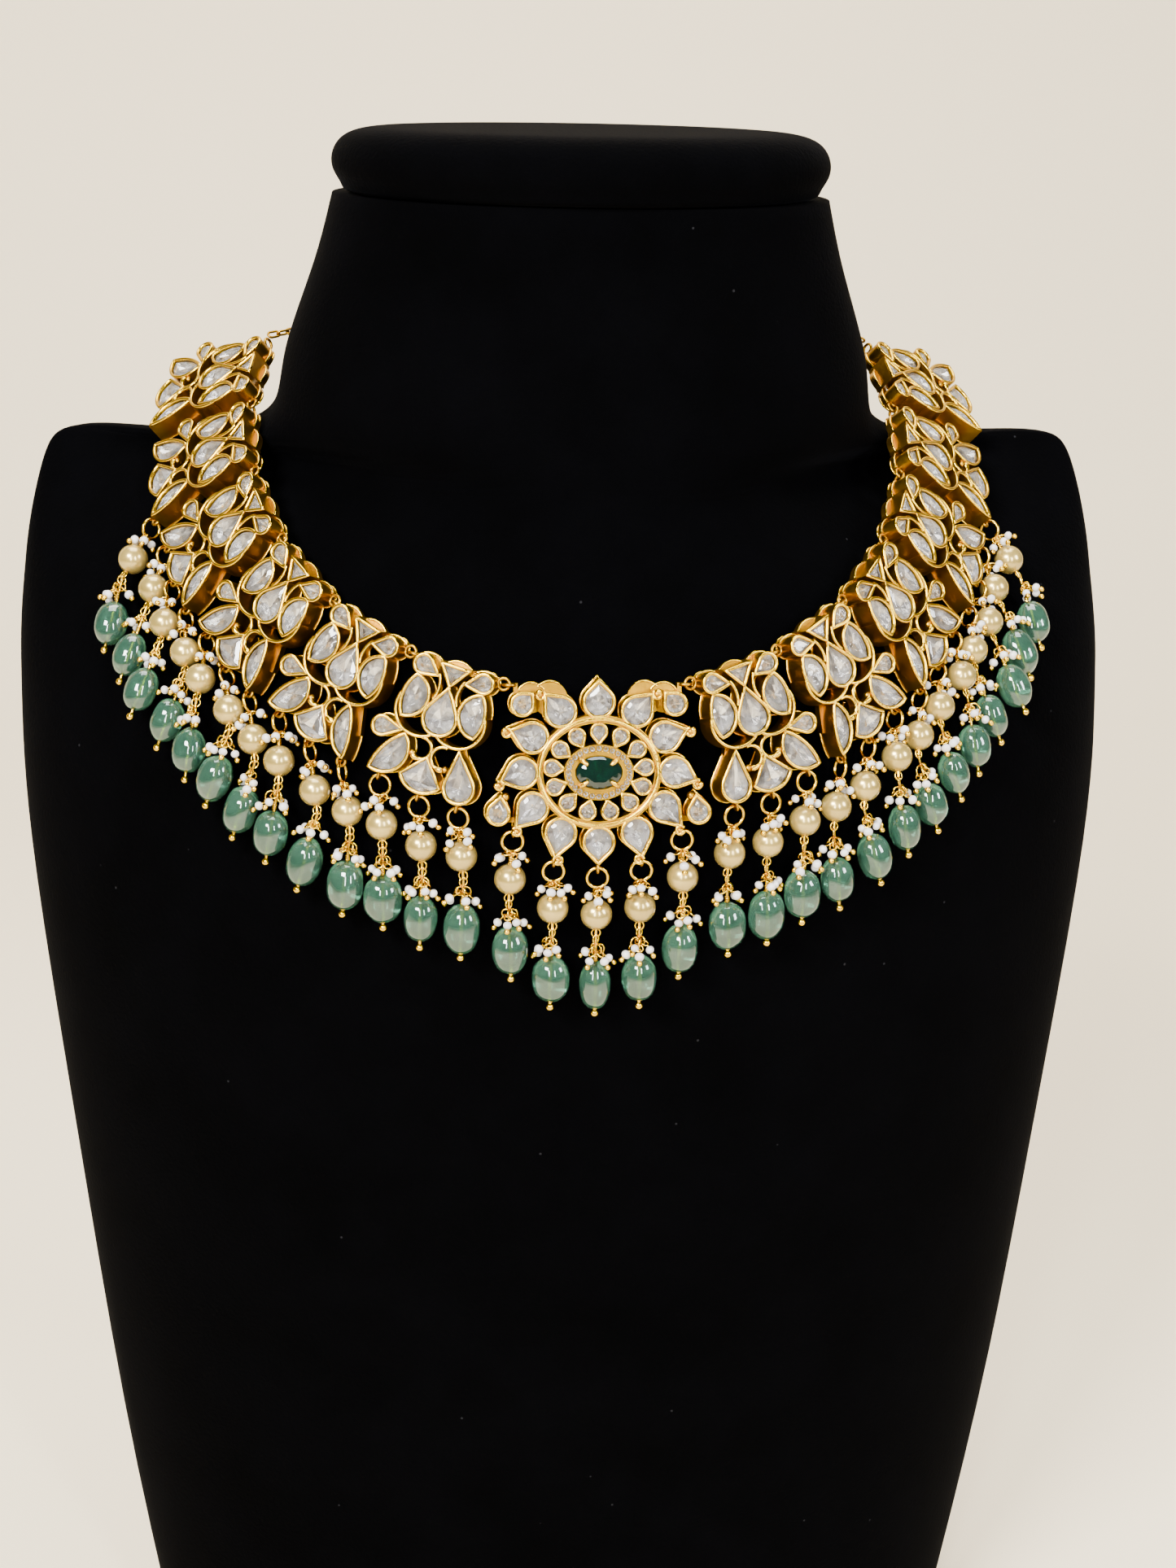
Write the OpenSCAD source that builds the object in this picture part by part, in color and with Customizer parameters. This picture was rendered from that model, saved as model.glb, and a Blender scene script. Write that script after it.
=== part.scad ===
/* [Bust] */
// Height of the bust from its foot to the top of the cap
bust_h = 351; // [346:1:358]
// Width of the bust at the foot
foot_w = 186; // [174:1:200]
// Depth of the bust at the foot
foot_d = 90; // [80:1:100]
// Width of the bust below the shoulders
chest_w = 237; // [232:1:244]
// Depth of the chest in front of the middle of the necklace
chest_front = 60; // [58:0.5:61]
// Depth of the bust behind the middle of the necklace
chest_back = 46; // [43:0.5:52]
// Width of the neck under the cap
neck_w = 100; // [96:1:101]
// Depth of the neck under the cap
neck_d = 73; // [68:1:75]
// Width of the padded cap on the neck
cap_w = 100.5; // [99:0.5:106]
// Depth of the padded cap
cap_d = 80; // [76:1:86]
// Thickness of the padded cap
cap_t = 12.5; // [10:0.5:14]

/* [Collar] */
// Distance from eye to eye of one link
link_w = 19.2; // [19:0.1:19.4]
// Width of the centre piece
centre_w = 43; // [42:0.25:43.5]
// Depth of the gold settings from back to front
setting_d = 5; // [4.4:0.1:5.4]
// Thickness of the gold wall round each stone
rim = 0.55; // [0.45:0.01:0.65]
// Height of a stone's crown above its girdle
crown = 0.42; // [0.3:0.01:0.48]
// Depth of a stone below its girdle
pavilion = 1.1; // [0.8:0.05:1.25]
// Thickness of the wire in the eyes and jump rings
ring_wire = 0.62; // [0.54:0.01:0.68]
// Middle diameter of the small eyes that join the links
eye_d = 2.2; // [2.1:0.05:2.3]
// Middle diameter of the jump rings
ring_d = 4; // [3.6:0.1:4.2]

/* [Emerald] */
// Width of the oval emerald
emerald_w = 8.8; // [8:0.1:9.2]
// Height of the oval emerald
emerald_h = 6.3; // [5.6:0.1:6.6]

/* [Drops] */
// Diameter of the cream pearls
pearl_d = 6.1; // [5.4:0.1:6.3]
// Length of the green beads
bead_l = 9.4; // [8.6:0.1:9.8]
// Widest part of the green beads
bead_w = 6.9; // [6.2:0.1:7]
// Thickness of the pin through each pearl and bead
pin_d = 0.6; // [0.5:0.02:0.66]
// Diameter of the gold ball at the end of each pin
ball_d = 1.5; // [1.3:0.1:1.8]
// Room for the small pearls between a jump ring and the pearl
upper_room = 2.55; // [2.3:0.05:2.8]
// Room for the small pearls between the pearl and the bead
lower_room = 5.5; // [5.2:0.05:5.8]

/* [Back chain] */
// Thickness of the back chain
chain_d = 1.9; // [1.6:0.1:2.1]
// Outer diameter of the barrel clasp
clasp_d = 4.4; // [4:0.1:4.8]
// Length of the barrel clasp
clasp_l = 11; // [9:0.5:13]

/* [Hidden] */
$fn = 48;

// The loop of eyes that joins the links: half width, reach to the front and back, slope, height
loop_x = 67.2;
loop_front = 71.4;
loop_back = 76.2;
slope = 35.5;
loop_below_top = 59;
loop_z = bust_h - loop_below_top;
axis = [0, -sin(slope), cos(slope)];
// How steeply each link stands on the chest, from the front to the back
stand = [0, 42, 42, 41, 39, 37, 33];
// An eye lies this far above the middle stone of a link, and this far in from the joint
eye_y = link_w * 0.5156;
eye_r = eye_d / 2;
eye_in = eye_r / 2;
ring_r = ring_d / 2;
// Heights within a setting, measured from the plane of the eyes
back_z = -1.6;
front_z = back_z + setting_d;
girdle_z = front_z - 0.12 - crown;
pocket_z = girdle_z - pavilion - 0.2;
gap = 0.1;

function unit(v) = v / norm(v);
function loop_pt(t) = let(b = cos(t) > 0 ? loop_front : loop_back)
    [-loop_x * sin(t), -b * cos(t) * cos(slope), loop_z - b * cos(t) * sin(slope)];

// Angles of the seven eyes of one side round the loop: the first beside the centre piece, then one
// link's width apart, found by halving
function next_eye(t, lo, hi, k = 24) = let(m = (lo + hi) / 2) k == 0 ? m :
    norm(loop_pt(m) - loop_pt(t)) < link_w ? next_eye(t, m, hi, k - 1) : next_eye(t, lo, m, k - 1);
function eyes(t, n) = n == 0 ? [t] : concat([t], eyes(next_eye(t, t, t + 40), n - 1));
eye_at = eyes(asin(centre_w * 0.402 / loop_x), 6);

// A link's frame: place of its middle stone, then its x, y and z directions
function link_frame(i) = let(
    p0 = loop_pt(eye_at[i - 1]), p1 = loop_pt(eye_at[i]),
    ex = unit(p0 - p1), mid = (p0 + p1) / 2,
    out0 = mid - [0, 0, loop_z], out1 = out0 - axis * (out0 * axis),
    out2 = unit(out1 - ex * (out1 * ex)),
    ey = -(cos(stand[i]) * out2 - sin(stand[i]) * axis))
    [mid - ey * eye_y, ex, ey, cross(ex, ey)];

centre_eye = [centre_w * 0.402 - eye_in, centre_w * 0.3815];
function centre_frame() = let(p = loop_pt(eye_at[0]), ey = unit([0, 0.21, 0.98]), ex = [1, 0, 0])
    [[0, p.y, p.z] - ey * centre_eye.y, ex, ey, cross(ex, ey)];
function frame_of(i) = i == 0 ? centre_frame() : link_frame(i);
function place(f, p) = f[0] + f[1] * p.x + f[2] * p.y + f[3] * (len(p) > 2 ? p.z : 0);

module in_frame(f) multmatrix([
    [f[1].x, f[2].x, f[3].x, f[0].x],
    [f[1].y, f[2].y, f[3].y, f[0].y],
    [f[1].z, f[2].z, f[3].z, f[0].z],
    [0, 0, 0, 1]]) children();
// Turns the z axis to the direction d at the point p
module along(p, d) translate(p) rotate([0, acos(d.z / norm(d)), atan2(d.y, d.x)]) children();

// Chest sections from the foot up, each a row of shares: height of the loop's middle, half width, depth
// in front, depth behind, place of the widest line, how far the front is pinched in at the sides, and
// where that pinch starts
SZ = 0; SW = 1; SF = 2; SB = 3; SY = 4; SP = 5; SQ = 6; SE = 7;
chest = [
    [0.205, 0.866, 0.833, 1, 0.083, 1, 0.693],
    [0.442, 0.926, 0.933, 0.978, 0.117, 0.98, 0.693],
    [0.644, 0.983, 0.992, 0.935, 0.167, 0.92, 0.675],
    [0.736, 1, 0.988, 0.913, 0.217, 0.86, 0.658],
    [0.798, 1, 0.94, 0.891, 0.267, 0.8, 0.641],
    [0.8425, 1, 0.872, 0.891, 0.3, 0.71, 0.615],
    [0.8767, 0.991, 0.838, 0.87, 0.333, 0.57, 0.589],
    [0.9075, 0.983, 0.802, 0.87, 0.35, 0.42, 0.563],
    [0.935, 0.968, 0.763, 0.87, 0.37, 0.25, 0.528],
    [0.9555, 0.95, 0.733, 0.87, 0.4, 0.12, 0.494],
    [0.964, 0.937, 0.713, 0.87, 0.42, 0.06, 0.468],
    [0.9712, 0.915, 0.7, 0.87, 0.43, 0.05, 0.459],
    [0.976, 0.83, 0.692, 0.87, 0.42, 0.08, 0.459],
    [0.982, 0.68, 0.683, 0.859, 0.34, 0.2, 0.468],
    [0.992, 0.576, 0.675, 0.848, 0.25, 0.6, 0.519]];
// The neck above them, in shares of its own width and depth
neck = [
    [1.0068, 1.256, 1.096, 1.069, 0.301, 0.9, 1.4],
    [1.0205, 1.232, 1.082, 1.055, 0.219, 1, 1.6],
    [1.0377, 1.216, 1.069, 1.055, 0.164, 1, 1.6],
    [1.0548, 1.196, 1.055, 1.041, 0.137, 1, 1.6],
    [1.0856, 1.132, 1.027, 1.027, 0.082, 1, 1.6],
    [1.1199, 1.056, 1.014, 1.014, 0.027, 1, 1.6],
    [1.1644, 1, 1, 1, 0, 1, 1.6]];
neck_top = bust_h - cap_t - 0.3;
bust_n = 44;
round_n = 2.15;
// The shoulders keep their own width and depth where the collar lies; the chest's fade into them
shoulder_w = 237;
shoulder_front = 60;
// The two side edges of the chest are drawn out past an oval by this much
edge_out = 3;
function fade(h, low, high) = high + (low - high) * max(0, min(1, (0.96 - h) / 0.16));
// Rows of lengths: height, half width, front, back, widest line, pinch, pinch start, drawn-out edge
foot_row = [0, foot_w / 2, 1 - foot_d / 2, 1 + foot_d / 2, 4, 1, foot_w / 2, edge_out];
chest_rows = [for (s = chest) let(w = fade(s[SZ], chest_w, shoulder_w) / 2)
    [s[SZ] * loop_z, s[SW] * w, -s[SF] * fade(s[SZ], chest_front, shoulder_front), s[SB] * chest_back,
     s[SY] * shoulder_front, s[SP], s[SQ] * (w - edge_out), edge_out]];
neck_rows = [for (s = neck) [s[SZ] > 1.15 ? neck_top : s[SZ] * loop_z, s[SW] * neck_w / 2,
    -s[SF] * neck_d / 2, s[SB] * neck_d / 2, s[SY] * neck_d / 2, s[SP], s[SQ] * neck_w / 2, 0]];
function section_pt(s, a) = let(
    c = cos(a), n = sin(a),
    u = pow(abs(c), 2 / round_n), k = pow(abs(n), 2 / round_n),
    x = s[SW] * u - s[SE] * (u - pow(u, 12)),
    pinch = s[SP] + (1 - s[SP]) / (1 + pow(x / s[SQ], 4)))
    [c < 0 ? -x : x,
     n < 0 ? s[SY] + (s[SF] - s[SY]) * k * pinch : s[SY] + (s[SB] - s[SY]) * k,
     s[SZ]];

// Closes a stack of equal rings of points into a solid
module stack(rings) {
    n = len(rings[0]);
    m = len(rings);
    polyhedron(
        points = [for (r = rings) for (p = r) p],
        faces = concat(
            [[for (j = [0 : n - 1]) j]],
            [for (i = [0 : m - 2]) for (j = [0 : n - 1]) let(a = i * n + j, b = i * n + (j + 1) % n)
                [a, a + n, b + n]],
            [for (i = [0 : m - 2]) for (j = [0 : n - 1]) let(a = i * n + j, b = i * n + (j + 1) % n)
                [a, b + n, b]],
            [[for (j = [0 : n - 1]) m * n - 1 - j]]),
        convexity = 8);
}

module bust_body() color("black")
    stack([for (s = concat([foot_row], chest_rows, neck_rows))
        [for (j = [0 : bust_n - 1]) section_pt(s, 360 * j / bust_n)]]);

// The padded cap: an oval cushion, each row its height and inset as shares of its thickness
cap_rows = [[0, 0.42], [0.12, 0.16], [0.32, 0.02], [0.55, 0], [0.78, 0.1], [0.93, 0.32], [1, 0.7]];
module bust_cap() color("black")
    stack([for (r = cap_rows) let(in = r[1] * cap_t, z = bust_h - cap_t * (1 - r[0]))
        [for (j = [0 : bust_n - 1]) let(a = 360 * j / bust_n)
            [(cap_w / 2 - in) * cos(a), (cap_d / 2 - in) * sin(a), z]]]);

// Outlines. A cup is round with a pointed tip, a leaf is where two arcs cross
module cup(c, r, tip) {
    v = tip - c;
    l = norm(v);
    b = acos(min(0.98, r / l)) + 7;
    translate(c) rotate(atan2(v.y, v.x)) {
        circle(r);
        polygon([[l, 0], 0.97 * r * [cos(b), sin(b)], 0.97 * r * [cos(b), -sin(b)]]);
    }
}
function arc_r(h, s) = (h * h + s * s) / (2 * s);
module leaf(p, q, s1, s2, inset) {
    h = norm(q - p) / 2;
    translate((p + q) / 2) rotate(atan2(q.y - p.y, q.x - p.x)) intersection() {
        translate([0, s1 - arc_r(h, s1)]) circle(arc_r(h, s1) - inset);
        translate([0, arc_r(h, s2) - s2]) circle(arc_r(h, s2) - inset);
    }
}
// A triangle drawn in by an even margin
function incentre(t) = let(a = norm(t[1] - t[2]), b = norm(t[2] - t[0]), c = norm(t[0] - t[1]))
    (a * t[0] + b * t[1] + c * t[2]) / (a + b + c);
function inradius(t) = let(a = norm(t[1] - t[2]), b = norm(t[2] - t[0]), c = norm(t[0] - t[1]),
    s = (a + b + c) / 2) sqrt((s - a) * (s - b) * (s - c) / s);
function drawn_in(t, d) = let(o = incentre(t), k = 1 - d / inradius(t)) [for (p = t) o + (p - o) * k];
// A curved bar of the link
module bow(b) {
    span = b[4] - b[3];
    r = b[2] * link_w;
    far = (r + bar_w) * 2;
    translate([b.x, b.y] * link_w) difference() {
        circle(r + bar_w / 2);
        circle(r - bar_w / 2);
        polygon(concat([[0, 0]], [for (i = [0 : 4])
            far * [cos(b[4] + (360 - span) * i / 4), sin(b[4] + (360 - span) * i / 4)]]));
    }
}

// A lotus link, its tables in shares of the link's width. Cups: place, radius, tip
mid_cup = [[0, 0], 0.185, [0, 0.349]];
buds = [for (s = [-1, 1]) [[s * 0.318, 0.464], 0.109, [s * 0.115, 0.391]]];
side_cup = [[-0.536, -0.245], 0.109, [-0.297, -0.216]];
foot_cup = [[0.396, -0.589], 0.169, [0.286, -0.219]];
function cups(i) = concat([mid_cup], buds, [side_cup], i == 1 ? [foot_cup] : []) * link_w;
// Leaves: one tip, other tip, bulge to the left of that line, bulge to its right
petals = [[[-0.349, 0.37], [-0.391, -0.099], 0.219, 0.078], [[0.349, 0.37], [0.391, -0.099], 0.078, 0.219]];
side_leaf = [[-0.281, -0.229], [-0.557, -0.682], 0.229, 0.062];
foot_leaf = [[0.26, -0.214], [0.474, -0.745], 0.052, 0.182];
function leaves(i) = concat(petals, [side_leaf], i == 1 ? [] : [foot_leaf]) * link_w;
crest = [[-0.172, 0.547], [0.172, 0.547], [0, 0.307]] * link_w;
fan_at = [0.005, -0.505] * link_w;
fan_r = 0.271 * link_w;
fan_tri = [[0, -0.38], [-0.542, -0.948], [0.5, -0.979]] * link_w;
// Curved bars: place and radius as shares, from angle, to angle
bowl = [[-0.198, 0.031, 0.266, 158, 308], [0.198, 0.031, 0.266, -128, 22]];
stems = [[-0.37, 0.286, 0.271, -26, 30], [0.37, 0.286, 0.271, 150, 206]];
curls = [[-0.089, -0.333, 0.109, -128, 100], [0.151, -0.365, 0.115, 80, 288]];
curl_end = [224, 297];
bar_w = 0.58;
curl_ball = 1.5;
// The scalloped rail behind the crest, and straight bars: place, turn, length
scallops = [[-0.302, 0.362], [0, 0.37], [0.302, 0.362]] * link_w;
scallop_r = 0.214 * link_w;
rail = [0.792, 0.479] * link_w;
rail_t = 1.5;
bars = [[0.208, -0.609, 0, 0.26], [0.355, -0.349, -65, 0.312]];
hang_at = [[0.417, -0.792], [0.005, -0.81], [-0.438, -0.734]] * link_w;
hang_r = 0.85;
hang_z = 0.9;

module eye(p, a) translate([p.x, p.y, 0]) rotate(a)
    rotate_extrude() translate([eye_r, 0]) circle(ring_wire / 2, $fn = 24);
// Direction that a hanging loop faces: along the link in front, square to the drop at the sides
function faces(f, i, v) = i < 2 ? f[1] : unit(cross(f[2], v));
module hang_loop(p, turn) translate([p.x, p.y, hang_z]) rotate([0, turn, 0])
    rotate_extrude() translate([hang_r, 0]) circle(ring_wire / 2, $fn = 24);

module link(i) in_frame(link_frame(i)) difference() {
    union() {
        translate([0, 0, back_z]) linear_extrude(setting_d) {
            for (c = cups(i)) cup(c[0], c[1], c[2]);
            for (l = leaves(i)) leaf(l[0], l[1], l[2], l[3], 0);
            for (b = bowl) bow(b);
            polygon(crest);
            intersection() {
                translate(fan_at) circle(fan_r);
                polygon(fan_tri);
            }
        }
        translate([0, 0, front_z - 2]) linear_extrude(1.9) for (b = concat(stems, curls)) bow(b);
        translate([0, 0, back_z]) linear_extrude(rail_t) {
            intersection() {
                for (s = scallops) translate(s) circle(scallop_r);
                translate([-rail.x / 2, rail.y]) square([rail.x, scallop_r * 1.2]);
            }
            for (b = bars) translate([b.x, b.y] * link_w) rotate(b[2])
                square([b[3] * link_w, bar_w * 1.6], center = true);
        }
        for (k = [0, 1]) translate([curls[k].x, curls[k].y] * link_w) rotate(curl_end[k])
            translate([curls[k][2] * link_w, 0, front_z - 0.9]) sphere(curl_ball / 2);
        eye([eye_y - eye_in - 0.3, eye_y], [0, 0, 0]);
        eye([0.3 + eye_in - eye_y, eye_y], [90, 0, 0]);
        for (d = drops) if (d[0] == i) {
            f = link_frame(i);
            h = faces(f, i, lean(d[2], d[3]));
            hang_loop(hang_at[d[1]], atan2(h * f[1], h * f[3]));
        }
    }
    translate([0, 0, pocket_z]) linear_extrude(setting_d) {
        for (c = cups(i)) cup(c[0], c[1] - rim, c[2] - unit(c[2] - c[0]) * rim * 2);
        for (l = leaves(i)) leaf(l[0], l[1], l[2], l[3], rim);
        polygon(drawn_in(crest, rim));
        intersection() {
            translate(fan_at) circle(fan_r - rim);
            polygon(drawn_in(fan_tri, rim));
        }
    }
}

// Outline points of the stones, counter-clockwise, inset from the metal
stone_n = 10;
function cup_pts(c, r, tip, inset) = let(
    v = tip - c, l = norm(v) - inset * 1.9, q = r - inset, b = acos(min(0.98, q / l)),
    a0 = atan2(v.y, v.x))
    concat([c + l * [cos(a0), sin(a0)]],
        [for (j = [0 : stone_n - 2]) let(a = a0 + b + (360 - 2 * b) * j / (stone_n - 2))
            c + q * [cos(a), sin(a)]]);
function leaf_pts(p, q, s1, s2, inset) = let(
    h = norm(q - p) / 2, m = (p + q) / 2, a0 = atan2(q.y - p.y, q.x - p.x),
    r1 = arc_r(h, s1), r2 = arc_r(h, s2), y1 = s1 - r1, y2 = r2 - s2,
    g1 = r1 - inset, g2 = r2 - inset,
    // the two drawn-in arcs cross at x = e
    d = y2 - y1, t = (g1 * g1 - g2 * g2 + d * d) / (2 * d), e = sqrt(max(0.01, g1 * g1 - t * t)),
    ye = y1 + t)
    [for (j = [0 : stone_n - 1])
        let(k = j < stone_n / 2, f = (j % (stone_n / 2)) / (stone_n / 2),
            lo = k ? asin(min(1, e / g2)) : asin(min(1, e / g1)),
            a = k ? -lo + 2 * lo * f : lo - 2 * lo * f,
            x = (k ? g2 : g1) * sin(a), y = k ? y2 - g2 * cos(a) : y1 + g1 * cos(a))
        m + [x * cos(a0) - y * sin(a0), x * sin(a0) + y * cos(a0)]];
function bent(t, f) = [for (j = [0 : 2]) each [t[j], (t[j] + t[(j + 1) % 3]) / 2
    + ((t[j] + t[(j + 1) % 3]) / 2 - incentre(t)) * f]];
crest_pts = let(t = drawn_in(crest, rim + gap * 1.4)) bent([t[2], t[1], t[0]], -0.04);
fan_pts = let(
    t = drawn_in(fan_tri, rim + gap * 1.4), r = fan_r - rim - gap * 1.4,
    // where a side of the triangle leaves the circle
    cut = [for (k = [1, 2]) let(d = unit(t[k] - t[0]), w = t[0] - fan_at, b = w * d,
        s = -b + sqrt(b * b - (w * w - r * r))) t[0] + d * s],
    a1 = atan2(cut[0].y - fan_at.y, cut[0].x - fan_at.x),
    a2 = atan2(cut[1].y - fan_at.y, cut[1].x - fan_at.x))
    concat([t[0], (t[0] + cut[0]) / 2 + [-0.01, 0.01]],
        [for (j = [0 : 5]) fan_at + r * [cos(a1 + (a2 - a1) * j / 5), sin(a1 + (a2 - a1) * j / 5)]],
        [(t[0] + cut[1]) / 2 + [0.01, 0.01]]);

function middle(pts) = [for (k = [0, 1]) sum([for (p = pts) p[k]]) / len(pts)];
function sum(v, i = 0) = i >= len(v) ? 0 : v[i] + sum(v, i + 1);
// A cut stone: small culet, girdle, table
module gem(pts, z, up, down) {
    o = middle(pts);
    stack([
        [for (p = pts) [o.x + (p.x - o.x) * 0.12, o.y + (p.y - o.y) * 0.12, z - down]],
        [for (p = pts) [p.x, p.y, z]],
        [for (p = pts) [o.x + (p.x - o.x) * 0.66, o.y + (p.y - o.y) * 0.66, z + up]]]);
}
module stones(i) in_frame(link_frame(i)) {
    for (c = cups(i)) gem(cup_pts(c[0], c[1], c[2], rim + gap * 2.2), girdle_z, crown, pavilion);
    for (l = leaves(i))
        gem(leaf_pts(l[0], l[1], l[2], l[3], rim + gap * 1.9), girdle_z, crown, pavilion);
    gem(crest_pts, girdle_z, crown, pavilion * 0.8);
    gem(fan_pts, girdle_z, crown, pavilion);
}

// Centre piece, its tables in shares of its width. Outer petals: angle round the ring, direction of
// the tip, length to the tip
outer_x = 0.337 * centre_w;
outer_y = 0.309 * centre_w;
petal_r = 0.0733 * centre_w;
petal_dirs = [[90, 90, 0.107], [60, 48, 0.116], [30, 19, 0.116], [0, -21, 0.116], [-30, -49, 0.126],
    [-60, -77, 0.121]];
function petal(k, s = 1) = let(d = petal_dirs[k], c = [outer_x * cos(d[0]), s * outer_y * sin(d[0])])
    [c, petal_r, c + d[2] * centre_w * [cos(d[1]), s * sin(d[1])]];
function mirrored(c) = [[-c[0].x, c[0].y], c[1], [-c[2].x, c[2].y]];
petals_right = [for (k = [1 : 5]) petal(k)];
petals_mid = [petal(0), petal(0, -1)];
corners = [[[0.337, 0.3], 0.0547, [0.284, 0.358]], [[0.444, -0.179], 0.0547, [0.43, -0.091]]] * centre_w;
outer_cups = concat(petals_mid, petals_right, corners,
    [for (c = petals_right) mirrored(c)], [for (c = corners) mirrored(c)]);
inner_n = 13;
inner_cups = [for (k = [0 : inner_n - 1]) let(a = 90 + 360 * k / inner_n)
    [[0.209 * cos(a), 0.18 * sin(a)], 0.0407, [0.142 * cos(a), 0.114 * sin(a)]]] * centre_w;
ring_oval = [0.277, 0.2535] * centre_w;
ring_hole = [0.2465, 0.2174] * centre_w;
halo_oval = [0.1535, 0.1233] * centre_w;
centre_ball = 1.7;
// The rail's two scallops behind the upper petals of a side: place, radius
centre_rail = [[0.293, 0.324, 0.067], [0.209, 0.32, 0.077]] * centre_w;
// Struts behind: place of the middle, width, height
strut_t = 2;
strut_up = [0.8, 2.2];
strut_across = [3, 1];
struts = [[centre_eye.x - eye_r - 0.05, centre_eye.y - 0.8, strut_up.x, strut_up.y],
    [0.381 * centre_w, -0.214 * centre_w, strut_across.x, strut_across.y]];
centre_balls = [for (c = petals_right) let(u = unit(c[2] - c[0])) c[2] + [u.y, -u.x] * centre_ball * 0.44];
hang_below = [0, 0.2 - hang_r];
centre_hangs = concat([petals_mid[1][2] + hang_below],
    [for (k = [4, 3]) mirrored(petals_right[k])[2] + hang_below],
    [for (k = [4, 3]) petals_right[k][2] + hang_below]);
function oval(v, n = 44) = [for (j = [0 : n - 1]) [v.x * cos(360 * j / n), v.y * sin(360 * j / n)]];
emerald = [emerald_w, emerald_h] / 2;
prong_d = 0.8;
prong_h = 1.3;
prong_at = [for (sx = [-1, 1]) for (sy = [-1, 1])
    [sx * (emerald.x * 0.72 + prong_d * 0.44), sy * (emerald.y * 0.72 + prong_d * 0.44)]];

module centre_setting() color("gold") in_frame(centre_frame()) {
    difference() {
        union() {
            translate([0, 0, back_z]) linear_extrude(setting_d) {
                for (c = outer_cups) cup(c[0], c[1], c[2]);
                difference() {
                    polygon(oval(ring_oval));
                    polygon(oval(ring_hole));
                }
                for (c = inner_cups) cup(c[0], c[1], c[2]);
                polygon(oval(halo_oval));
            }
            translate([0, 0, back_z]) linear_extrude(strut_t) for (s = [-1, 1]) for (b = struts)
                translate([s * b.x, b.y]) square([b[2], b[3]], center = true);
            translate([0, 0, back_z]) linear_extrude(rail_t) for (s = [-1, 1])
                for (r = centre_rail) translate([s * r.x, r.y]) circle(r.z);
            for (s = [-1, 1]) {
                for (p = concat(centre_balls, [for (c = corners) c[2] + [-0.8, -0.7]]))
                    translate([s * p.x, p.y, front_z - 0.9]) sphere(centre_ball / 2);
                eye([s * centre_eye.x, centre_eye.y], [90, 0, 0]);
            }
            for (p = centre_hangs) hang_loop(p, 90);
        }
        translate([0, 0, pocket_z]) linear_extrude(setting_d) {
            for (c = concat(outer_cups, inner_cups))
                cup(c[0], c[1] - rim, c[2] - unit(c[2] - c[0]) * rim * 2);
            polygon(oval(emerald + [gap, gap]));
        }
    }
    for (p = prong_at) translate([p.x, p.y, front_z - 0.3]) {
        cylinder(h = prong_h, r = prong_d / 2);
        translate([0, 0, prong_h]) sphere(prong_d / 2);
    }
}
module centre_stones() color("white") in_frame(centre_frame())
    for (c = outer_cups) gem(cup_pts(c[0], c[1], c[2], rim + gap * 2.2), girdle_z, crown, pavilion);
module centre_emerald() color("green") in_frame(centre_frame())
    gem(oval(emerald - [gap, gap] / 2, 16), front_z + 0.25, 0.85, front_z + 0.25 - pocket_z - gap * 2);

// Drops. Each row: link, its loop, lean outward and forward of the upper part, then of the lower
drops = [
    [1, 0, -5, 3, 2, 4],
    [1, 1, -3, 9, 2, 3],
    [1, 2, -2, 14, 0, 5],
    [2, 0, -7, 19, 6, 6],
    [2, 1, -7, 27, 15, 2],
    [2, 2, 1, 30, 10, 3],
    [3, 0, -6, 34, 17, 4],
    [3, 1, -5, 46, 18, 3],
    [3, 2, 11, 39, 9, 16],
    [4, 0, 0, 43, 21, 11],
    [4, 1, 14, 44, 23, 27],
    [4, 2, 21, 40, 21, 28],
    [5, 0, 33, 37, 14, 33]];
centre_drops = [[0, 0, 0, -2, 0, 2], [0, 1, 0, -2, 1, 2], [0, 2, 3, 0, -2, 2]];
upper = ring_d + upper_room + pearl_d / 2;
joint = pearl_d / 2 + 1.35;
lower = lower_room + bead_l / 2;
function lean(o, f) = unit([-tan(o), -tan(f), -1]);
function hang_pt(d) = let(p = d[0] == 0 ? centre_hangs[d[1]] : hang_at[d[1]])
    place(frame_of(d[0]), [p.x, p.y, hang_z]);
function pearl_pt(d) = hang_pt(d) + lean(d[2], d[3]) * upper;
function joint_pt(d) = hang_pt(d) + lean(d[2], d[3]) * (upper + joint);
function bead_pt(d) = joint_pt(d) + lean(d[4], d[5]) * lower;

// A jump ring through the loop, a pin through the pearl, a pin with a ball through the bead
module pin(d) {
    v = lean(d[2], d[3]);
    w = lean(d[4], d[5]);
    f = frame_of(d[0]);
    h = faces(f, d[0], v);
    ex = unit(h - v * (h * v));
    in_frame([hang_pt(d) + v * ring_r, ex, -v, cross(ex, -v)])
        rotate_extrude() translate([ring_r, 0]) circle(ring_wire / 2, $fn = 24);
    along(hang_pt(d) + v * ring_r * 2, v) cylinder(h = upper + joint - ring_r * 2, r = pin_d / 2);
    translate(joint_pt(d)) sphere(pin_d * 0.7);
    along(joint_pt(d), w) {
        cylinder(h = lower + bead_l / 2 + 0.5, r = pin_d / 2);
        translate([0, 0, lower + bead_l / 2 + 0.5 + ball_d * 0.4]) sphere(ball_d / 2);
    }
}
bore = pin_d / 2 + 0.14;
module pearl(d) along(pearl_pt(d), lean(d[2], d[3])) difference() {
    sphere(pearl_d / 2);
    cylinder(h = pearl_d + 2, r = bore, center = true);
}
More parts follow.
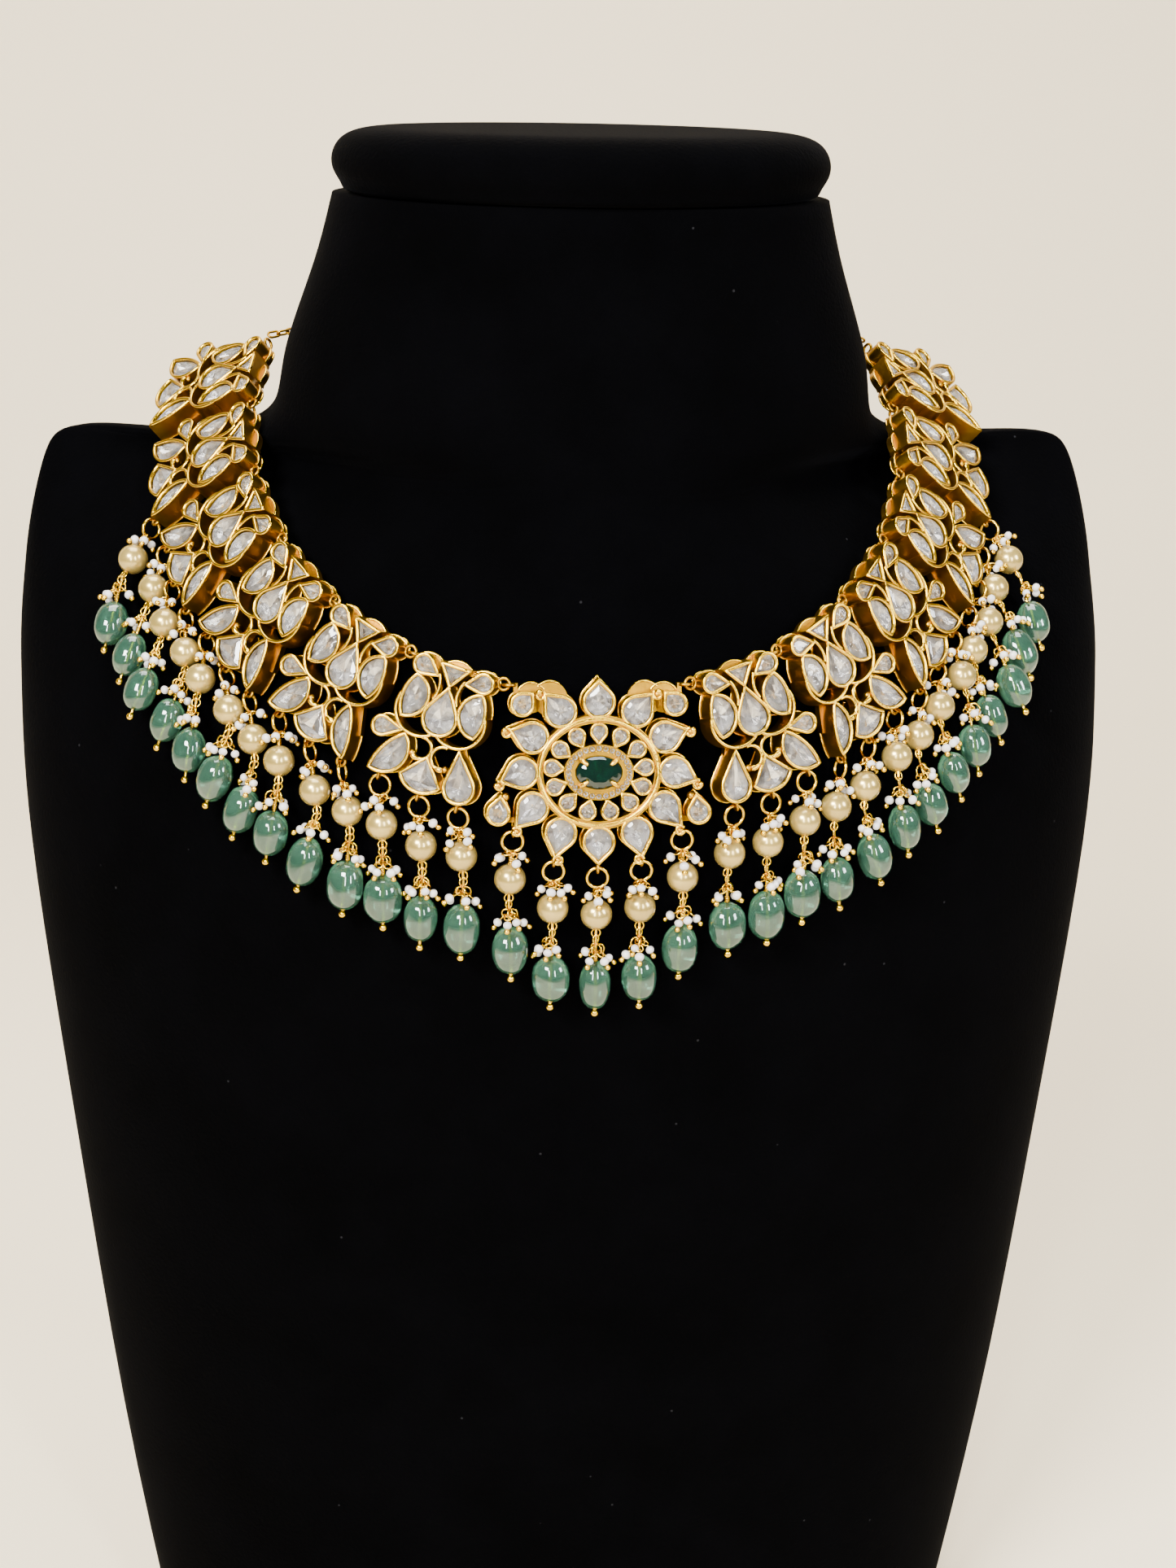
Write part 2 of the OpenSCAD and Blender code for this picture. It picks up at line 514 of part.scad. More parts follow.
// A tumbled bead: an oval barrel with soft ends
bead_rows = [[-0.5, 0.36], [-0.47, 0.58], [-0.4, 0.77], [-0.26, 0.94], [0, 1], [0.26, 0.94], [0.4, 0.77],
    [0.47, 0.58], [0.5, 0.36]];
module bead(d) along(bead_pt(d), lean(d[4], d[5])) rotate_extrude()
    polygon(concat([[bore, -bead_l / 2]], [for (r = bead_rows) [r[1] * bead_w / 2, r[0] * bead_l]],
        [[bore, bead_l / 2]]));

flank_drops = [centre_drops[1], centre_drops[2]];
module pins_left() color("goldenrod") for (d = drops) pin(d);
module pins_right() color("goldenrod") mirror([1, 0, 0]) for (d = drops) pin(d);
module pins_centre() color("goldenrod") {
    for (d = centre_drops) pin(d);
    mirror([1, 0, 0]) for (d = flank_drops) pin(d);
}
module pearls_left() color("ivory") for (d = drops) pearl(d);
module pearls_right() color("ivory") mirror([1, 0, 0]) for (d = drops) pearl(d);
module pearls_centre() color("ivory") {
    for (d = centre_drops) pearl(d);
    mirror([1, 0, 0]) for (d = flank_drops) pearl(d);
}
module beads_left() color("mediumseagreen") for (d = drops) bead(d);
module beads_right() color("mediumseagreen") mirror([1, 0, 0]) for (d = drops) bead(d);
module beads_centre() color("mediumseagreen") {
    for (d = centre_drops) bead(d);
    mirror([1, 0, 0]) for (d = flank_drops) bead(d);
}

module link_left_1() color("gold") link(1);
module link_left_2() color("gold") link(2);
module link_left_3() color("gold") link(3);
module link_left_4() color("gold") link(4);
module link_left_5() color("gold") link(5);
module link_left_6() color("gold") link(6);
module link_right_1() color("gold") mirror([1, 0, 0]) link(1);
module link_right_2() color("gold") mirror([1, 0, 0]) link(2);
module link_right_3() color("gold") mirror([1, 0, 0]) link(3);
module link_right_4() color("gold") mirror([1, 0, 0]) link(4);
module link_right_5() color("gold") mirror([1, 0, 0]) link(5);
module link_right_6() color("gold") mirror([1, 0, 0]) link(6);
module stones_left_1() color("white") stones(1);
module stones_left_2() color("white") stones(2);
module stones_left_3() color("white") stones(3);
module stones_left_4() color("white") stones(4);
module stones_left_5() color("white") stones(5);
module stones_left_6() color("white") stones(6);
module stones_right_1() color("white") mirror([1, 0, 0]) stones(1);
module stones_right_2() color("white") mirror([1, 0, 0]) stones(2);
module stones_right_3() color("white") mirror([1, 0, 0]) stones(3);
module stones_right_4() color("white") mirror([1, 0, 0]) stones(4);
module stones_right_5() color("white") mirror([1, 0, 0]) stones(5);
module stones_right_6() color("white") mirror([1, 0, 0]) stones(6);

// Back chain: hooks on the last eye of each side and runs round the back of the neck
last = link_frame(6);
chain_ring = place(last, [-eye_y - 0.25, eye_y]);
chain_start = place(last, [-eye_y - 0.25 - eye_r - chain_d * 0.3, eye_y]);
chain_back = neck_d * 0.578;
chain_rise = 4;
function chain_pt(t) = let(x = abs(t))
    [-chain_start.x * t, chain_back - (chain_back - chain_start.y) * pow(x, 1.7),
     chain_start.z + chain_rise * (1 - x * x)];
chain_n = 36;
module back_chain() color("gold") {
    stack([for (i = [0 : chain_n]) let(
        t = 1 - 2 * i / chain_n, p = chain_pt(t), d = unit(chain_pt(t - 0.01) - chain_pt(t + 0.01)),
        a = unit(cross(d, [0, 0, 1])), b = cross(d, a))
        [for (j = [0 : 7]) p + (a * cos(45 * j) + b * sin(45 * j)) * chain_d / 2]]);
    for (s = [0, 1]) mirror([s, 0, 0]) in_frame([chain_ring, last[1], last[2], last[3]])
        rotate_extrude() translate([eye_r, 0]) circle(ring_wire / 2, $fn = 24);
}
module clasp() color("gold") translate([0, chain_back, chain_start.z + chain_rise]) rotate([0, 90, 0])
    difference() {
        cylinder(h = clasp_l, r = clasp_d / 2, center = true);
        cylinder(h = clasp_l + 1, r = chain_d / 2 + 0.5, center = true);
    }

bust_body();
bust_cap();
centre_setting();
centre_emerald();
centre_stones();
link_left_1();
link_left_2();
link_left_3();
link_left_4();
link_left_5();
link_left_6();
link_right_1();
link_right_2();
link_right_3();
link_right_4();
link_right_5();
link_right_6();
stones_left_1();
stones_left_2();
stones_left_3();
stones_left_4();
stones_left_5();
stones_left_6();
stones_right_1();
stones_right_2();
stones_right_3();
stones_right_4();
stones_right_5();
stones_right_6();
pins_left();
pins_centre();
pins_right();
pearls_left();
pearls_centre();
pearls_right();
beads_left();
beads_centre();
beads_right();
back_chain();
clasp();
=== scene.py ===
import math
import random

import bmesh
import bpy
from mathutils import Matrix, Vector, noise


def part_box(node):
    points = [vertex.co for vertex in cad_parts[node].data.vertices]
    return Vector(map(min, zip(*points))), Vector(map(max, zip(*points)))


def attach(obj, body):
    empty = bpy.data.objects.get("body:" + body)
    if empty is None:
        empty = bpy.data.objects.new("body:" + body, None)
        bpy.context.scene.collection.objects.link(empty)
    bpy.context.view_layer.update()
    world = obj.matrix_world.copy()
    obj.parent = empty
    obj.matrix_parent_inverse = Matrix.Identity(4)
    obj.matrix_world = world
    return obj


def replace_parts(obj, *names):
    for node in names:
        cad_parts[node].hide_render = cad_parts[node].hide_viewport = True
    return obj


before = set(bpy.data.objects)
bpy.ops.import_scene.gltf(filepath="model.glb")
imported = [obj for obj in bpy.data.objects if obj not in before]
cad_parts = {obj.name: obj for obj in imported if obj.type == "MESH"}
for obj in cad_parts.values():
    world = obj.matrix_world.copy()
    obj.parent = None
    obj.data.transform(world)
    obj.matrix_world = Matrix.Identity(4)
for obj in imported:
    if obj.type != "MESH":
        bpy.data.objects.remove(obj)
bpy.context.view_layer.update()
mm = 0.001


# The display bust: a pressed hollow form, padded and covered in one black velvet skin, drawn in under
# the foot. The pile swallows light face on and shows a faint grey sheen along its edges.

def linear(hex_code):
    """An sRGB colour, such as E0A83C, as the linear colour that a shader takes."""
    parts = [int(hex_code[k:k + 2], 16) / 255 for k in (0, 2, 4)]
    return (*(c / 12.92 if c <= 0.04045 else ((c + 0.055) / 1.055) ** 2.4 for c in parts), 1.0)


def add_node(tree, kind, inputs=None, **settings):
    """Adds one shader node. inputs gives each socket a value, or another node's socket to link."""
    node = tree.nodes.new(kind)
    for name, value in settings.items():
        setattr(node, name, value)
    for name, value in (inputs or {}).items():
        if isinstance(value, bpy.types.NodeSocket):
            tree.links.new(value, node.inputs[name])
        else:
            node.inputs[name].default_value = value
    return node


def new_material(name):
    """An empty material, its node tree and its Object coordinates."""
    material = bpy.data.materials.new(name)
    material.use_nodes = True
    material.node_tree.nodes.clear()
    place = add_node(material.node_tree, "ShaderNodeTexCoord").outputs["Object"]
    return material, material.node_tree, place


def dress(obj, *materials):
    """Gives an object its materials and lets it ride on the row's one body."""
    for material in materials:
        obj.data.materials.append(material)
    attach(obj, "root")
    return obj


def object_of(name, bm, *materials, smooth=True):
    """Turns a finished bmesh into a piece."""
    mesh = bpy.data.meshes.new(name)
    for face in bm.faces:
        face.smooth = smooth
    bm.to_mesh(mesh)
    bm.free()
    obj = bpy.data.objects.new(name, mesh)
    bpy.context.scene.collection.objects.link(obj)
    return dress(obj, *materials)


def copy_of(node):
    """A CAD node's mesh as a bmesh with its loose triangles merged."""
    bm = bmesh.new()
    bm.from_mesh(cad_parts[node].data)
    bm.transform(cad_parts[node].matrix_world)
    bmesh.ops.remove_doubles(bm, verts=bm.verts, dist=0.002 * mm)
    return bm


# Cotton velvet: pile about half a millimetre long, brushed flat in cloudy patches. The pile's grain is
# drawn at 0.8 mm, as coarse as it needs to show, with pale specks of lint here and there.
velvet, tree, place = new_material("black_velvet")
clouds = add_node(tree, "ShaderNodeTexNoise", {
    "Vector": place, "Scale": 45.0, "Detail": 5.0, "Roughness": 0.6})
pile = add_node(tree, "ShaderNodeTexNoise", {"Vector": place, "Scale": 1 / (0.8 * mm), "Detail": 2.0})
lint = add_node(tree, "ShaderNodeTexVoronoi", {"Vector": place, "Scale": 1 / (9 * mm), "Randomness": 1.0})
speck = add_node(tree, "ShaderNodeMapRange", {
    "Value": lint.outputs["Distance"], "From Min": 0.035, "From Max": 0.02})
brushed = add_node(tree, "ShaderNodeMix", {
    0: clouds.outputs["Fac"], 6: linear("000000"), 7: linear("020203")}, data_type="RGBA")
linty = add_node(tree, "ShaderNodeMix", {
    0: speck.outputs["Result"], 6: brushed.outputs[2], 7: linear("161618")}, data_type="RGBA")
nap = add_node(tree, "ShaderNodeBump", {"Height": pile.outputs["Fac"], "Strength": 0.5, "Distance": 0.4 * mm})
shader = add_node(tree, "ShaderNodeBsdfPrincipled", {
    "Base Color": linty.outputs[2], "Roughness": 1.0, "Specular IOR Level": 0.015, "Sheen Weight": 0.012,
    "Sheen Roughness": 0.35, "Sheen Tint": linear("8C8C96"), "Normal": nap.outputs["Normal"]})
add_node(tree, "ShaderNodeOutputMaterial", {"Surface": shader.outputs[0]})

bust = copy_of("bust_body")
bmesh.ops.dissolve_limit(bust, angle_limit=math.radians(0.5), verts=bust.verts, edges=bust.edges)
bmesh.ops.join_triangles(bust, faces=bust.faces, angle_face_threshold=math.radians(40),
                         angle_shape_threshold=math.radians(60))
crease = bust.edges.layers.float.new("crease_edge")
neck_top = max(v.co.z for v in bust.verts)
for edge in bust.edges:
    if all(v.co.z < 0.5 * mm for v in edge.verts) or all(v.co.z > neck_top - 0.5 * mm for v in edge.verts):
        edge[crease] = 1.0


def part_way(value):
    return min(1, max(0, value))


# the padding is fullest at the outer corners of the shoulders, outside the last links
padding, corner_x, corner_low, corner_top = 3.4, 90, 270, 292
for vert in bust.verts:
    corner = part_way((abs(vert.co.x) / mm - corner_x) / 8) * part_way((vert.co.z / mm - corner_low) / 12)
    vert.co.z += padding * mm * corner * part_way((corner_top - vert.co.z / mm) / 8)
bust = object_of("bust_velvet", bust, velvet)
bust.modifiers.new("rounding", "SUBSURF").levels = 2
bust.modifiers["rounding"].render_levels = 2
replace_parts(bust, "bust_body")


# The cap on the neck: a board with a foam pad, wrapped in the same velvet and glued on. Its rim is full
# and round, and it rests flat on the neck.

cap = copy_of("bust_cap")
bmesh.ops.dissolve_limit(cap, angle_limit=math.radians(0.5), verts=cap.verts, edges=cap.edges)
bmesh.ops.join_triangles(cap, faces=cap.faces, angle_face_threshold=math.radians(40),
                         angle_shape_threshold=math.radians(60))
for height in (max, min):
    board = height(cap.faces, key=lambda f: f.calc_center_median().z)
    bmesh.ops.inset_individual(cap, faces=[board], thickness=6 * mm)
low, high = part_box("bust_cap")
cap_seat = neck_top + 0.05 * mm
for vert in cap.verts:
    # the velvet is pulled straight down over the board's edge and turned under in a tight fold
    rise = (vert.co.z - low.z) / (high.z - low.z)
    reach = math.hypot(vert.co.x / high.x, vert.co.y / high.y)
    if rise < 0.5 and reach > 0.8:
        full = (0.955, 0.985, 0.995)[min(2, int(rise * 8))]
        vert.co.x, vert.co.y = vert.co.x / reach * full, vert.co.y / reach * full
    if rise < 0.02:
        vert.co.z = cap_seat
cap = object_of("cap_velvet", cap, velvet)
cap.modifiers.new("rounding", "SUBSURF").levels = 2
cap.modifiers["rounding"].render_levels = 2
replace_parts(cap, "bust_cap")


# The gold links: each one a lotus of strip cups soldered side by side, with curled wires between them
# and a scalloped rail behind. High-carat gold over lac, burnished by hand. Its colour is painted darker
# than the rims' gold, as painted shade for the deep walls, and is mottled at random with wear.

gold, tree, place = new_material("burnished_gold_painted_shade")
grain = add_node(tree, "ShaderNodeTexNoise", {
    "Vector": place, "Scale": 1 / (0.7 * mm), "Detail": 4.0, "Roughness": 0.65})
wear = add_node(tree, "ShaderNodeTexNoise", {"Vector": place, "Scale": 1 / (5 * mm), "Detail": 3.0})
# painted shade: both colours are darker than the rims' gold, standing in for the shade in the deep walls
gold_tone_and_shade = add_node(tree, "ShaderNodeMix", {
    0: wear.outputs["Fac"], 6: linear("80580A"), 7: linear("C09212")}, data_type="RGBA")
matt = add_node(tree, "ShaderNodeMapRange", {"Value": grain.outputs["Fac"], "To Min": 0.22, "To Max": 0.42})
hammer = add_node(tree, "ShaderNodeBump", {
    "Height": grain.outputs["Fac"], "Strength": 0.35, "Distance": 0.12 * mm})
shader = add_node(tree, "ShaderNodeBsdfPrincipled", {
    "Base Color": gold_tone_and_shade.outputs[2], "Metallic": 1.0, "Roughness": matt.outputs["Result"],
    "Normal": hammer.outputs["Normal"]})
add_node(tree, "ShaderNodeOutputMaterial", {"Surface": shader.outputs[0]})

for name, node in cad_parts.items():
    if name.startswith(("link_", "centre_setting", "clasp", "back_chain")):
        node.data.materials.clear()
        node.data.materials.append(gold)


# Where each link hangs: the eyes lie on one tilted loop round the neck, a link's width apart, and each
# link stands on the chest below its two eyes.
link_w = 19.2
loop_x, loop_front, loop_back, slope, loop_z = 67.2, 71.4, 76.2, math.radians(35.5), 292.0
stand = [0, 42, 42, 41, 39, 37, 33]
centre_w = 43.0
back_z, front_z = -1.6, 3.4


def loop_pt(degrees):
    t = math.radians(degrees)
    b = loop_front if math.cos(t) > 0 else loop_back
    return Vector((-loop_x * math.sin(t), -b * math.cos(t) * math.cos(slope),
                   loop_z - b * math.cos(t) * math.sin(slope)))


eye_at = [math.degrees(math.asin(centre_w * 0.402 / loop_x))]
while len(eye_at) < 7:
    low, high = eye_at[-1], eye_at[-1] + 40
    for _ in range(24):
        mid = (low + high) / 2
        low, high = (mid, high) if (loop_pt(mid) - loop_pt(eye_at[-1])).length < link_w else (low, mid)
    eye_at.append((low + high) / 2)


def place_of(i):
    """The matrix that puts something drawn in mm on link i's face: x along the loop, y to the neck, z out."""
    if i == 0:
        ex, ey = Vector((1, 0, 0)), Vector((0, 0.21, 0.98)).normalized()
        p = loop_pt(eye_at[0])
        origin = Vector((0, p.y, p.z)) - ey * centre_w * 0.3815
    else:
        axis = Vector((0, -math.sin(slope), math.cos(slope)))
        p0, p1 = loop_pt(eye_at[i - 1]), loop_pt(eye_at[i])
        ex, middle = (p0 - p1).normalized(), (p0 + p1) / 2
        out = middle - Vector((0, 0, loop_z))
        out -= axis * out.dot(axis)
        out = (out - ex * out.dot(ex)).normalized()
        ey = -(out * math.cos(math.radians(stand[i])) - axis * math.sin(math.radians(stand[i])))
        origin = middle - ey * link_w * 0.5156
    facing = Matrix((ex, ey, ex.cross(ey))).transposed().to_4x4()
    return Matrix.Scale(mm, 4) @ Matrix.Translation(origin) @ facing


flip = Matrix.Scale(-1, 4, (1, 0, 0))


# The rims: kundan is hammered in ribbons of pure gold round each stone, and the edge is rubbed over into
# a soft bead. It stands a little proud of the wall and is grainy. It is brighter than the walls below,
# whose gold is painted darker as shade.

rim_gold, tree, place = new_material("kundan_rim_gold")
grain = add_node(tree, "ShaderNodeTexNoise", {
    "Vector": place, "Scale": 1 / (0.45 * mm), "Detail": 3.0, "Roughness": 0.7})
tone = add_node(tree, "ShaderNodeMix", {
    0: grain.outputs["Fac"], 6: linear("BC8E10"), 7: linear("F8CE28")}, data_type="RGBA")
hammer = add_node(tree, "ShaderNodeBump", {
    "Height": grain.outputs["Fac"], "Strength": 0.5, "Distance": 0.1 * mm})
shader = add_node(tree, "ShaderNodeBsdfPrincipled", {
    "Base Color": tone.outputs[2], "Metallic": 1.0, "Roughness": 0.19, "Normal": hammer.outputs["Normal"]})
add_node(tree, "ShaderNodeOutputMaterial", {"Surface": shader.outputs[0]})


def wire_piece(name, runs, material, sides=3):
    """Round wires as one piece. Each run is its points in metres, its radius in mm (or one for each point),
    and whether it closes on itself."""
    curve = bpy.data.curves.new(name, "CURVE")
    curve.dimensions = "3D"
    curve.bevel_depth = 1.0 * mm
    curve.bevel_resolution = sides
    curve.use_fill_caps = True
    for points, radius, closed in runs:
        spline = curve.splines.new("POLY")
        spline.points.add(len(points) - 1)
        for k, point in enumerate(points):
            spline.points[k].co = (*point, 1)
            spline.points[k].radius = radius[k] if isinstance(radius, list) else radius
        spline.use_cyclic_u = closed
        spline.use_smooth = True
    holder = bpy.data.objects.new(name, curve)
    mesh = bpy.data.meshes.new_from_object(holder)
    bpy.data.objects.remove(holder)
    bpy.data.curves.remove(curve)
    mesh.name = name
    obj = bpy.data.objects.new(name, mesh)
    bpy.context.scene.collection.objects.link(obj)
    return dress(obj, material)


def cup_line(centre, radius, tip, inset=0.0, count=30):
    """The outline of a pear cup: an arc, and two straight sides to its tip."""
    centre, tip = Vector(centre), Vector(tip)
    way = tip - centre
    long, r = way.length - inset * 1.9, radius - inset
    b = math.acos(min(0.98, r / long))
    a0 = math.atan2(way.y, way.x)
    angles = [a0 + b + (2 * math.pi - 2 * b) * k / count for k in range(count + 1)]
    arc = [centre + r * Vector((math.cos(a), math.sin(a))) for a in angles]
    peak = centre + long * Vector((math.cos(a0), math.sin(a0)))
    first, last = [peak.lerp(arc[0], f) for f in (0.35, 0.7)], [arc[-1].lerp(peak, f) for f in (0.3, 0.65)]
    return [peak] + first + arc + last


def leaf_line(p, q, left, right, inset=0.0, count=14):
    """The outline of a leaf: two arcs that cross at its tips."""
    p, q = Vector(p), Vector(q)
    half, a0, middle = (q - p).length / 2, math.atan2(q.y - p.y, q.x - p.x), (p + q) / 2
    r1, r2 = ((half * half + s * s) / (2 * s) for s in (left, right))
    y1, y2, g1, g2 = left - r1, r2 - right, r1 - inset, r2 - inset
    d = y2 - y1
    t = (g1 * g1 - g2 * g2 + d * d) / (2 * d)
    e = math.sqrt(g1 * g1 - t * t)
    low, high = math.asin(min(1, e / g2)), math.asin(min(1, e / g1))
    line = [(g2 * math.sin(a), y2 - g2 * math.cos(a))
            for a in (-low + 2 * low * k / count for k in range(count))]
    line += [(g1 * math.sin(a), y1 + g1 * math.cos(a))
             for a in (high - 2 * high * k / count for k in range(count))]
    return [middle + Vector((x * math.cos(a0) - y * math.sin(a0), x * math.sin(a0) + y * math.cos(a0)))
            for x, y in line]


def drawn_in(corners, inset):
    """A triangle drawn in by an even margin."""
    a, b, c = (Vector(p) for p in corners)
    sides = ((b - c).length, (c - a).length, (a - b).length)
    heart = (a * sides[0] + b * sides[1] + c * sides[2]) / sum(sides)
    half = sum(sides) / 2
    radius = math.sqrt((half - sides[0]) * (half - sides[1]) * (half - sides[2]) / half)
    return [heart + (p - heart) * (1 - inset / radius) for p in (a, b, c)]


def along_sides(corners, count=5):
    return [a.lerp(b, k / count) for a, b in zip(corners, corners[1:] + corners[:1]) for k in range(count)]


def fan_line(inset=0.0):
    """The fan below a link: a triangle whose far side is an arc."""
    at, r = Vector((0.005, -0.505)) * link_w, 0.271 * link_w - inset
    corners = [(x * link_w, y * link_w) for x, y in ((0, -0.38), (-0.542, -0.948), (0.5, -0.979))]
    top, left, right = drawn_in(corners, inset)
    ends = []
    for far in (left, right):
        way, w = (far - top).normalized(), top - at
        ends.append(top + way * (-w.dot(way) + math.sqrt(w.dot(way) ** 2 - w.dot(w) + r * r)))
    a1, a2 = (math.atan2(p.y - at.y, p.x - at.x) for p in ends)
    arc = [at + r * Vector((math.cos(a), math.sin(a))) for a in (a1 + (a2 - a1) * k / 12 for k in range(13))]
    return [top, top.lerp(arc[0], 0.5)] + arc + [arc[-1].lerp(top, 0.5)]


def scaled(rows):
    """Rows given as shares of a link's width, in mm."""
    return [[tuple(v * link_w for v in part) if isinstance(part, tuple) else part * link_w for part in row]
            for row in rows]


def cups_of(i):
    rows = [[(0, 0), 0.185, (0, 0.349)], [(-0.318, 0.464), 0.109, (-0.115, 0.391)],
            [(0.318, 0.464), 0.109, (0.115, 0.391)], [(-0.536, -0.245), 0.109, (-0.297, -0.216)]]
    return scaled(rows + ([[(0.396, -0.589), 0.169, (0.286, -0.219)]] if i == 1 else []))


def leaves_of(i):
    rows = [[(-0.349, 0.37), (-0.391, -0.099), 0.219, 0.078], [(0.349, 0.37), (0.391, -0.099), 0.078, 0.219],
            [(-0.281, -0.229), (-0.557, -0.682), 0.229, 0.062]]
    return scaled(rows + ([] if i == 1 else [[(0.26, -0.214), (0.474, -0.745), 0.052, 0.182]]))


def bar_line(x, y, r, start, end, count=18):
    """An arc of a curled wire, from one angle to another."""
    angles = [math.radians(start + (end - start) * k / count) for k in range(count + 1)]
    return [Vector((x, y)) * link_w + r * link_w * Vector((math.cos(a), math.sin(a))) for a in angles]


crest = [(x * link_w, y * link_w) for x, y in ((-0.172, 0.547), (0.172, 0.547), (0, 0.307))]
rim_r, rim_in = 0.36, 0.27
edge_r, rail_r, edge_out = 0.24, 0.26, -0.05
for side, turn in (("left", Matrix.Identity(4)), ("right", flip)):
    for i in range(1, 7):
        spot = turn @ place_of(i)
        lift = front_z - 0.06
        closed = [cup_line(*row, inset=rim_in) for row in cups_of(i)]
        closed += [leaf_line(*row, inset=rim_in) for row in leaves_of(i)]
        closed += [along_sides(drawn_in(crest, rim_in)), fan_line(rim_in)]
        runs = [([spot @ Vector((p.x, p.y, lift)) for p in line], rim_r, True) for line in closed]
        for bar in ((-0.198, 0.031, 0.266, 158, 308), (0.198, 0.031, 0.266, -128, 22)):
            runs.append(([spot @ Vector((p.x, p.y, lift)) for p in bar_line(*bar)], 0.34, False))
        for bar in ((-0.37, 0.286, 0.271, -26, 30), (0.37, 0.286, 0.271, 150, 206)):
            runs.append(([spot @ Vector((p.x, p.y, lift - 0.12)) for p in bar_line(*bar)], 0.33, False))
        # the two curls below the big pear, each run out into a small ball
        swell = [0.5, 0.66, 0.62, 0.44] + [0.36] * 15
        for bar, thick in (((-0.089, -0.333, 0.109, -128, 100), swell),
                           ((0.151, -0.365, 0.115, 80, 288), swell[::-1])):
            runs.append(([spot @ Vector((p.x, p.y, lift - 0.1)) for p in bar_line(*bar)], thick, False))
        wire_piece("rims_%s_%d" % (side, i), runs, rim_gold)

        # the back plate's edge, which catches the light below each dark wall, and the rail's scallops
        edges = [cup_line(*row, inset=edge_out) for row in cups_of(i)]
        edges += [leaf_line(*row, inset=edge_out) for row in leaves_of(i)] + [fan_line(edge_out)]
        runs = [([spot @ Vector((p.x, p.y, back_z + 0.25)) for p in line], edge_r, True) for line in edges]
        for arc in ((-0.302, 0.362, 0.214, 45, 116), (0, 0.37, 0.214, 45, 135),
                    (0.302, 0.362, 0.214, 64, 135)):
            runs.append(([spot @ Vector((p.x, p.y, back_z + 1.4)) for p in bar_line(*arc)], rail_r, False))
        wire_piece("back_edges_%s_%d" % (side, i), runs, rim_gold, sides=1)


# The polki stones: flat-topped uncut-looking stones over silver foil. The crown is clear; the foil under
# the facets throws the light back from one point in the middle, which makes them bright and silvery.
# Each foil facet is painted a random grey to white, as painted reflections.

foil, tree, place = new_material("silver_foil")
creases = add_node(tree, "ShaderNodeTexNoise", {"Vector": place, "Scale": 1 / (1.2 * mm), "Detail": 4.0})
crinkle = add_node(tree, "ShaderNodeBump", {
    "Height": creases.outputs["Fac"], "Strength": 0.45, "Distance": 0.25 * mm})
facet = add_node(tree, "ShaderNodeAttribute", attribute_name="facet_painted_glint")
# painted reflections: each foil facet is grey to white at random, as if it caught more or less light
foil_painted_glints = add_node(tree, "ShaderNodeMix", {
    0: facet.outputs["Fac"], 6: linear("8F8985"), 7: linear("FFFFFF")}, data_type="RGBA")
shader = add_node(tree, "ShaderNodeBsdfPrincipled", {
    "Base Color": foil_painted_glints.outputs[2], "Metallic": 0.8, "Roughness": 0.2, "Normal": crinkle.outputs["Normal"]})
add_node(tree, "ShaderNodeOutputMaterial", {"Surface": shader.outputs[0]})

crystal, tree, place = new_material("polki_crystal")
feather = add_node(tree, "ShaderNodeTexNoise", {"Vector": place, "Scale": 1 / (1.3 * mm), "Detail": 4.0})
swirl = add_node(tree, "ShaderNodeBump", {
    "Height": feather.outputs["Fac"], "Strength": 0.1, "Distance": 0.2 * mm})
shader = add_node(tree, "ShaderNodeBsdfPrincipled", {
    "Base Color": linear("FDFCFB"), "Roughness": 0.02, "IOR": 1.55, "Transmission Weight": 1.0,
    "Normal": swirl.outputs["Normal"]})
add_node(tree, "ShaderNodeOutputMaterial", {"Surface": shader.outputs[0]})

chance = random.Random(11)


def cut_stone(bm, outline, z, up, down, table, matrix, waist=0.55):
    """Adds one faceted stone, the hull of its table, girdle, a waist turned half a step, and its point.
    Facets above the girdle are clear and those below are foil, each painted lighter or darker at random as a
    painted reflection."""
    tone = bm.faces.layers.float.get("facet_painted_glint") or bm.faces.layers.float.new("facet_painted_glint")
    middle = sum(outline, Vector((0, 0))) / len(outline)
    halves = [(p + q) / 2 for p, q in zip(outline, outline[1:] + outline[:1])]
    verts = []
    crown = 0.97 * (1 + table) / 2
    for line, share, height in ((outline, 1.0, z), (halves, crown, z + up * 0.62), (outline, table, z + up),
                                (halves, waist, z - down * 0.62), (outline, 0.08, z - down)):
        for p in line:
            flat = middle + (p - middle) * share
            verts.append(bm.verts.new((flat.x, flat.y, height)))
    made = bmesh.ops.convex_hull(bm, input=verts)
    faces = [g for g in made["geom"] if isinstance(g, bmesh.types.BMFace)]
    spare = {g for g in made["geom_interior"] + made["geom_unused"] if isinstance(g, bmesh.types.BMVert)}
    bmesh.ops.delete(bm, geom=list(spare), context="VERTS")
    for face in faces:
        face.material_index = 0 if face.calc_center_median().z > z else 1
        # painted reflection: a random brightness for each facet
        face[tone] = chance.random() ** 0.7
    bmesh.ops.transform(bm, matrix=matrix, verts=list({v for f in faces for v in f.verts}))


girdle, stone_in, stone_up, stone_down, table_share = front_z - 0.5, 0.6, 0.42, 1.15, 0.62


def stone_line(cup, inset, count):
    """A pear stone's outline: its cup's, drawn in, without the points along the straight sides."""
    line = cup_line(*cup, inset=inset, count=count)
    return line[0:1] + line[3:-2]


